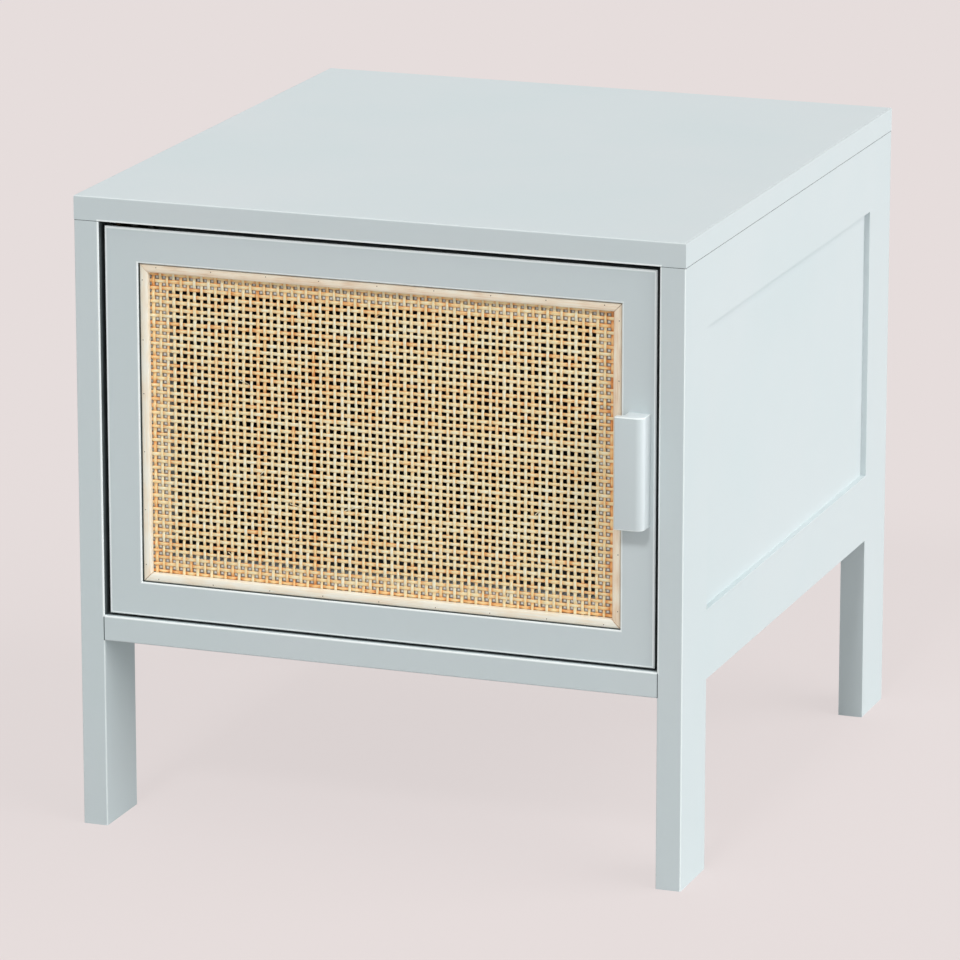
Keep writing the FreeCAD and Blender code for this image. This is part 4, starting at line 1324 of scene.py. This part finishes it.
# %% Cut the cam locks
CAM_CROSS = (0.52, 0.11, 0.5)
CAM_CORNERS = 40
CAM_RADIUS = 7.3 * MM
CAM_DEPTH = 13.5 * MM
CAM_RIM = 0.4 * MM
BORE_RADIUS = 3.8 * MM
BORE_DEPTH = 9.0 * MM
BORE_ENDS = (-3.6 * MM, 9.0 * MM)


def cam_mesh():
    """A cam lock: a drum with a cross in its face at the origin, and a bore for the bolt's head along X."""
    stations = [
        (-CAM_DEPTH, CAM_RADIUS - CAM_RIM),
        (CAM_RIM - CAM_DEPTH, CAM_RADIUS),
        (-CAM_RIM, CAM_RADIUS),
        (0.0, CAM_RADIUS - CAM_RIM),
    ]
    drum = plain_loft("cam", round_rings(stations, corners=CAM_CORNERS))
    bore = round_rings([(end, BORE_RADIUS) for end in BORE_ENDS])[..., [2, 1, 0]] * (1, 1, -1)
    bore[..., 2] -= BORE_DEPTH
    cross = cross_cutter(*(share * CAM_RADIUS for share in CAM_CROSS))
    return carved(drum, [plain_loft("bore", bore), cross])


def cam_seat(cam, bolts):
    """A cam's place, turned so that its face looks out of the wood and its bore meets its bolt."""
    low, high = cam.min(axis=0), cam.max(axis=0)
    middle = (low + high) / 2
    axis = int(np.argmin(high - low))
    sign = -1 if axis == 2 else -np.sign(middle[0])
    face = np.eye(3)[axis] * sign
    bolt = min(bolts, key=lambda points: np.linalg.norm(points - middle, axis=1).min())
    to_bolt = (bolt.min(axis=0) + bolt.max(axis=0)) / 2 - middle
    along = np.eye(3)[np.argmax(np.ptp(bolt, axis=0))]
    along *= np.sign(to_bolt @ along)
    seat = Matrix(np.column_stack([along, np.cross(face, along), face]).tolist()).to_4x4()
    middle[axis] = (high if sign > 0 else low)[axis]
    return Matrix.Translation(middle) @ seat


bolts = loose_parts("cam_bolts")
cam_seats = [cam_seat(cam, bolts) for cam in loose_parts("cam_locks")]
cam_drums = new_piece("cam_drums", copies("cam_drums", cam_mesh(), cam_seats), zinc, "cabinet")
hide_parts("cam_locks")
print(len(cam_seats), "cam locks are in place.")

# %% [markdown]
# ## Brads and loose fibres
# Two small things make the door look handmade. Thin brads pin the beads, and their heads show as dark dots
# near the outer edge. A few fibres have split off the cane's strands and stand up from the weave, most of
# them low down where the webbing was trimmed. Both are lofted, so that they cast real shadows.

# %% Drive the brads
BRAD_RADIUS = 0.42 * MM
BRAD_LENGTH = 3.0 * MM
BRAD_RIM = 0.1 * MM
BRAD_TIP, BRAD_FACE = 0.6, 0.7
BRAD_CORNERS = 10
BRAD_SPACING = 40 * MM
BRAD_FROM_CORNER = 12 * MM
BRAD_ACROSS = 0.32
BRAD_SLIP = 0.8 * MM
BRAD_PROUD = 0.05 * MM
brad_steel = metal("brad_steel", tint(70, 58, 46), tint(104, 88, 70), 0.5, 0.3 * MM, 0.003 * MM)


def brad_places():
    """Where the brads sit: along each bead, near its outer edge, on the crown's surface."""
    surface = crown(2 * math.sqrt(BRAD_ACROSS * (1 - BRAD_ACROSS)))
    for start, end, inward in BEAD_RUNS.values():
        length = (end - start).length
        way = (end - start).normalized()
        count = round((length - 2 * BRAD_FROM_CORNER) / BRAD_SPACING) + 1
        for share in np.linspace(BRAD_FROM_CORNER / length, 1 - BRAD_FROM_CORNER / length, count):
            slip = way * turning.normal(0, BRAD_SLIP)
            place = start.lerp(end, share) + slip + inward * bead_width * BRAD_ACROSS
            yield Vector((place.x, surface - BRAD_PROUD, place.z))


stations = [(-BRAD_LENGTH, BRAD_TIP * BRAD_RADIUS), (-BRAD_RIM, BRAD_RADIUS), (0.0, BRAD_FACE * BRAD_RADIUS)]
brad = plain_loft("brad", round_rings(stations, corners=BRAD_CORNERS))
brad_seats = [Matrix.Translation(place) @ Matrix.Rotation(math.pi / 2, 4, "X") for place in brad_places()]
new_piece("bead_brads", copies("bead_brads", brad, brad_seats), brad_steel, "door")
print(len(brad_seats), "brads pin the beads.")

# %% Draw a loose fibre
FIBRE_WIDTH = 0.55 * MM
FIBRE_TAPER = 0.75
FIBRE_THICKNESS = 0.16 * MM
FIBRE_POINTS = 9
FIBRE_SECTION = np.array([(-0.5, 0.5), (0.5, 0.5), (0.5, -0.5), (-0.5, -0.5)])
FIBRE_BEND = 0.3 * MM
FIBRE_OFF_WEAVE = 0.1 * MM
FIBRE_GRAIN = 5 * MM
FIBRE_TONE = 0.85
SEED_SCALE = 91


def loose_fibre(x0, z0, x1, z1, lift):
    """A flat sliver that lies on the weave at one end and stands up from it at the other."""
    shares = np.linspace(0, 1, FIBRE_POINTS)
    spine = np.zeros((FIBRE_POINTS, 3))
    spine[:, 0] = x0 + (x1 - x0) * shares
    spine[:, 2] = z0 + (z1 - z0) * shares + FIBRE_BEND * np.sin(shares * math.pi)
    spine[:, 1] = cane_front - FIBRE_OFF_WEAVE - lift * shares**2
    way = np.array([x1 - x0, 0, z1 - z0]) / math.hypot(x1 - x0, z1 - z0)
    over = np.cross(way, (0, 1, 0))
    across, through = FIBRE_SECTION.T
    widths = FIBRE_WIDTH * (1 - FIBRE_TAPER * shares)
    rings = spine[:, None] + over * (across * widths[:, None])[..., None]
    rings = rings + np.array((0, 1, 0)) * (through * FIBRE_THICKNESS)[:, None]
    grain = grain_at((shares * FIBRE_GRAIN)[:, None], np.zeros(len(FIBRE_SECTION)), x0 * SEED_SCALE)
    return rings, np.full(len(grain), FIBRE_TONE), grain


print("A loose fibre is", round(FIBRE_WIDTH / MM, 2), "mm wide where it leaves the weave.")

# %% Lift the loose fibres
# Each chosen fibre runs from an x and z to another x and z, in millimetres.
CHOSEN_FIBRES = [
    (139.6, 199.6, 142.6, 192.6),
    (78.0, 190.0, 80.6, 196.2),
    (91.0, 189.4, 92.8, 197.6),
    (-102.4, 327.4, -94.0, 324.6),
    (-66.4, 243.6, -53.0, 240.4),
    (-26.0, 242.4, -9.0, 247.6),
]
CHOSEN_LIFT = 0.9 * MM
STRAY_FIBRES = 12
STRAY_LIFT = 0.6 * MM
STRAY_LENGTH_MM = (3, 7)
STRAY_SINK = 2.2
SIDE_MARGIN, END_MARGIN = 12 * MM, 10 * MM


def all_fibres():
    """The chosen fibres and some strays, most of them low on the panel."""
    for ends in CHOSEN_FIBRES:
        yield loose_fibre(*(value * MM for value in ends), CHOSEN_LIFT)
    for _ in range(STRAY_FIBRES):
        x = chance.uniform(columns_low.x + SIDE_MARGIN, columns_high.x - SIDE_MARGIN)
        room = columns_high.z - columns_low.z - 2 * END_MARGIN
        z = columns_low.z + END_MARGIN + room * chance.uniform() ** STRAY_SINK
        turn = chance.uniform(0, 2 * math.pi)
        length = chance.uniform(*STRAY_LENGTH_MM) * MM
        yield loose_fibre(x, z, x + length * math.cos(turn), z + length * math.sin(turn), STRAY_LIFT)


new_piece("loose_fibres", loft("loose_fibres", *zip(*all_fibres())), cane, "door")
print(len(CHOSEN_FIBRES) + STRAY_FIBRES, "loose fibres stand on the weave.")

# %% [markdown]
# ## Finish
# The last lines print the size of the dressed model beside the size of the construction.

# %% Print the sizes
sizes = {"cad": [list(corner) for corner in cad_box], "visual": [list(corner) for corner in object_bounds()]}
print("Sizes in metres:", {name: [round(b - a, 4) for a, b in zip(*box)] for name, box in sizes.items()})
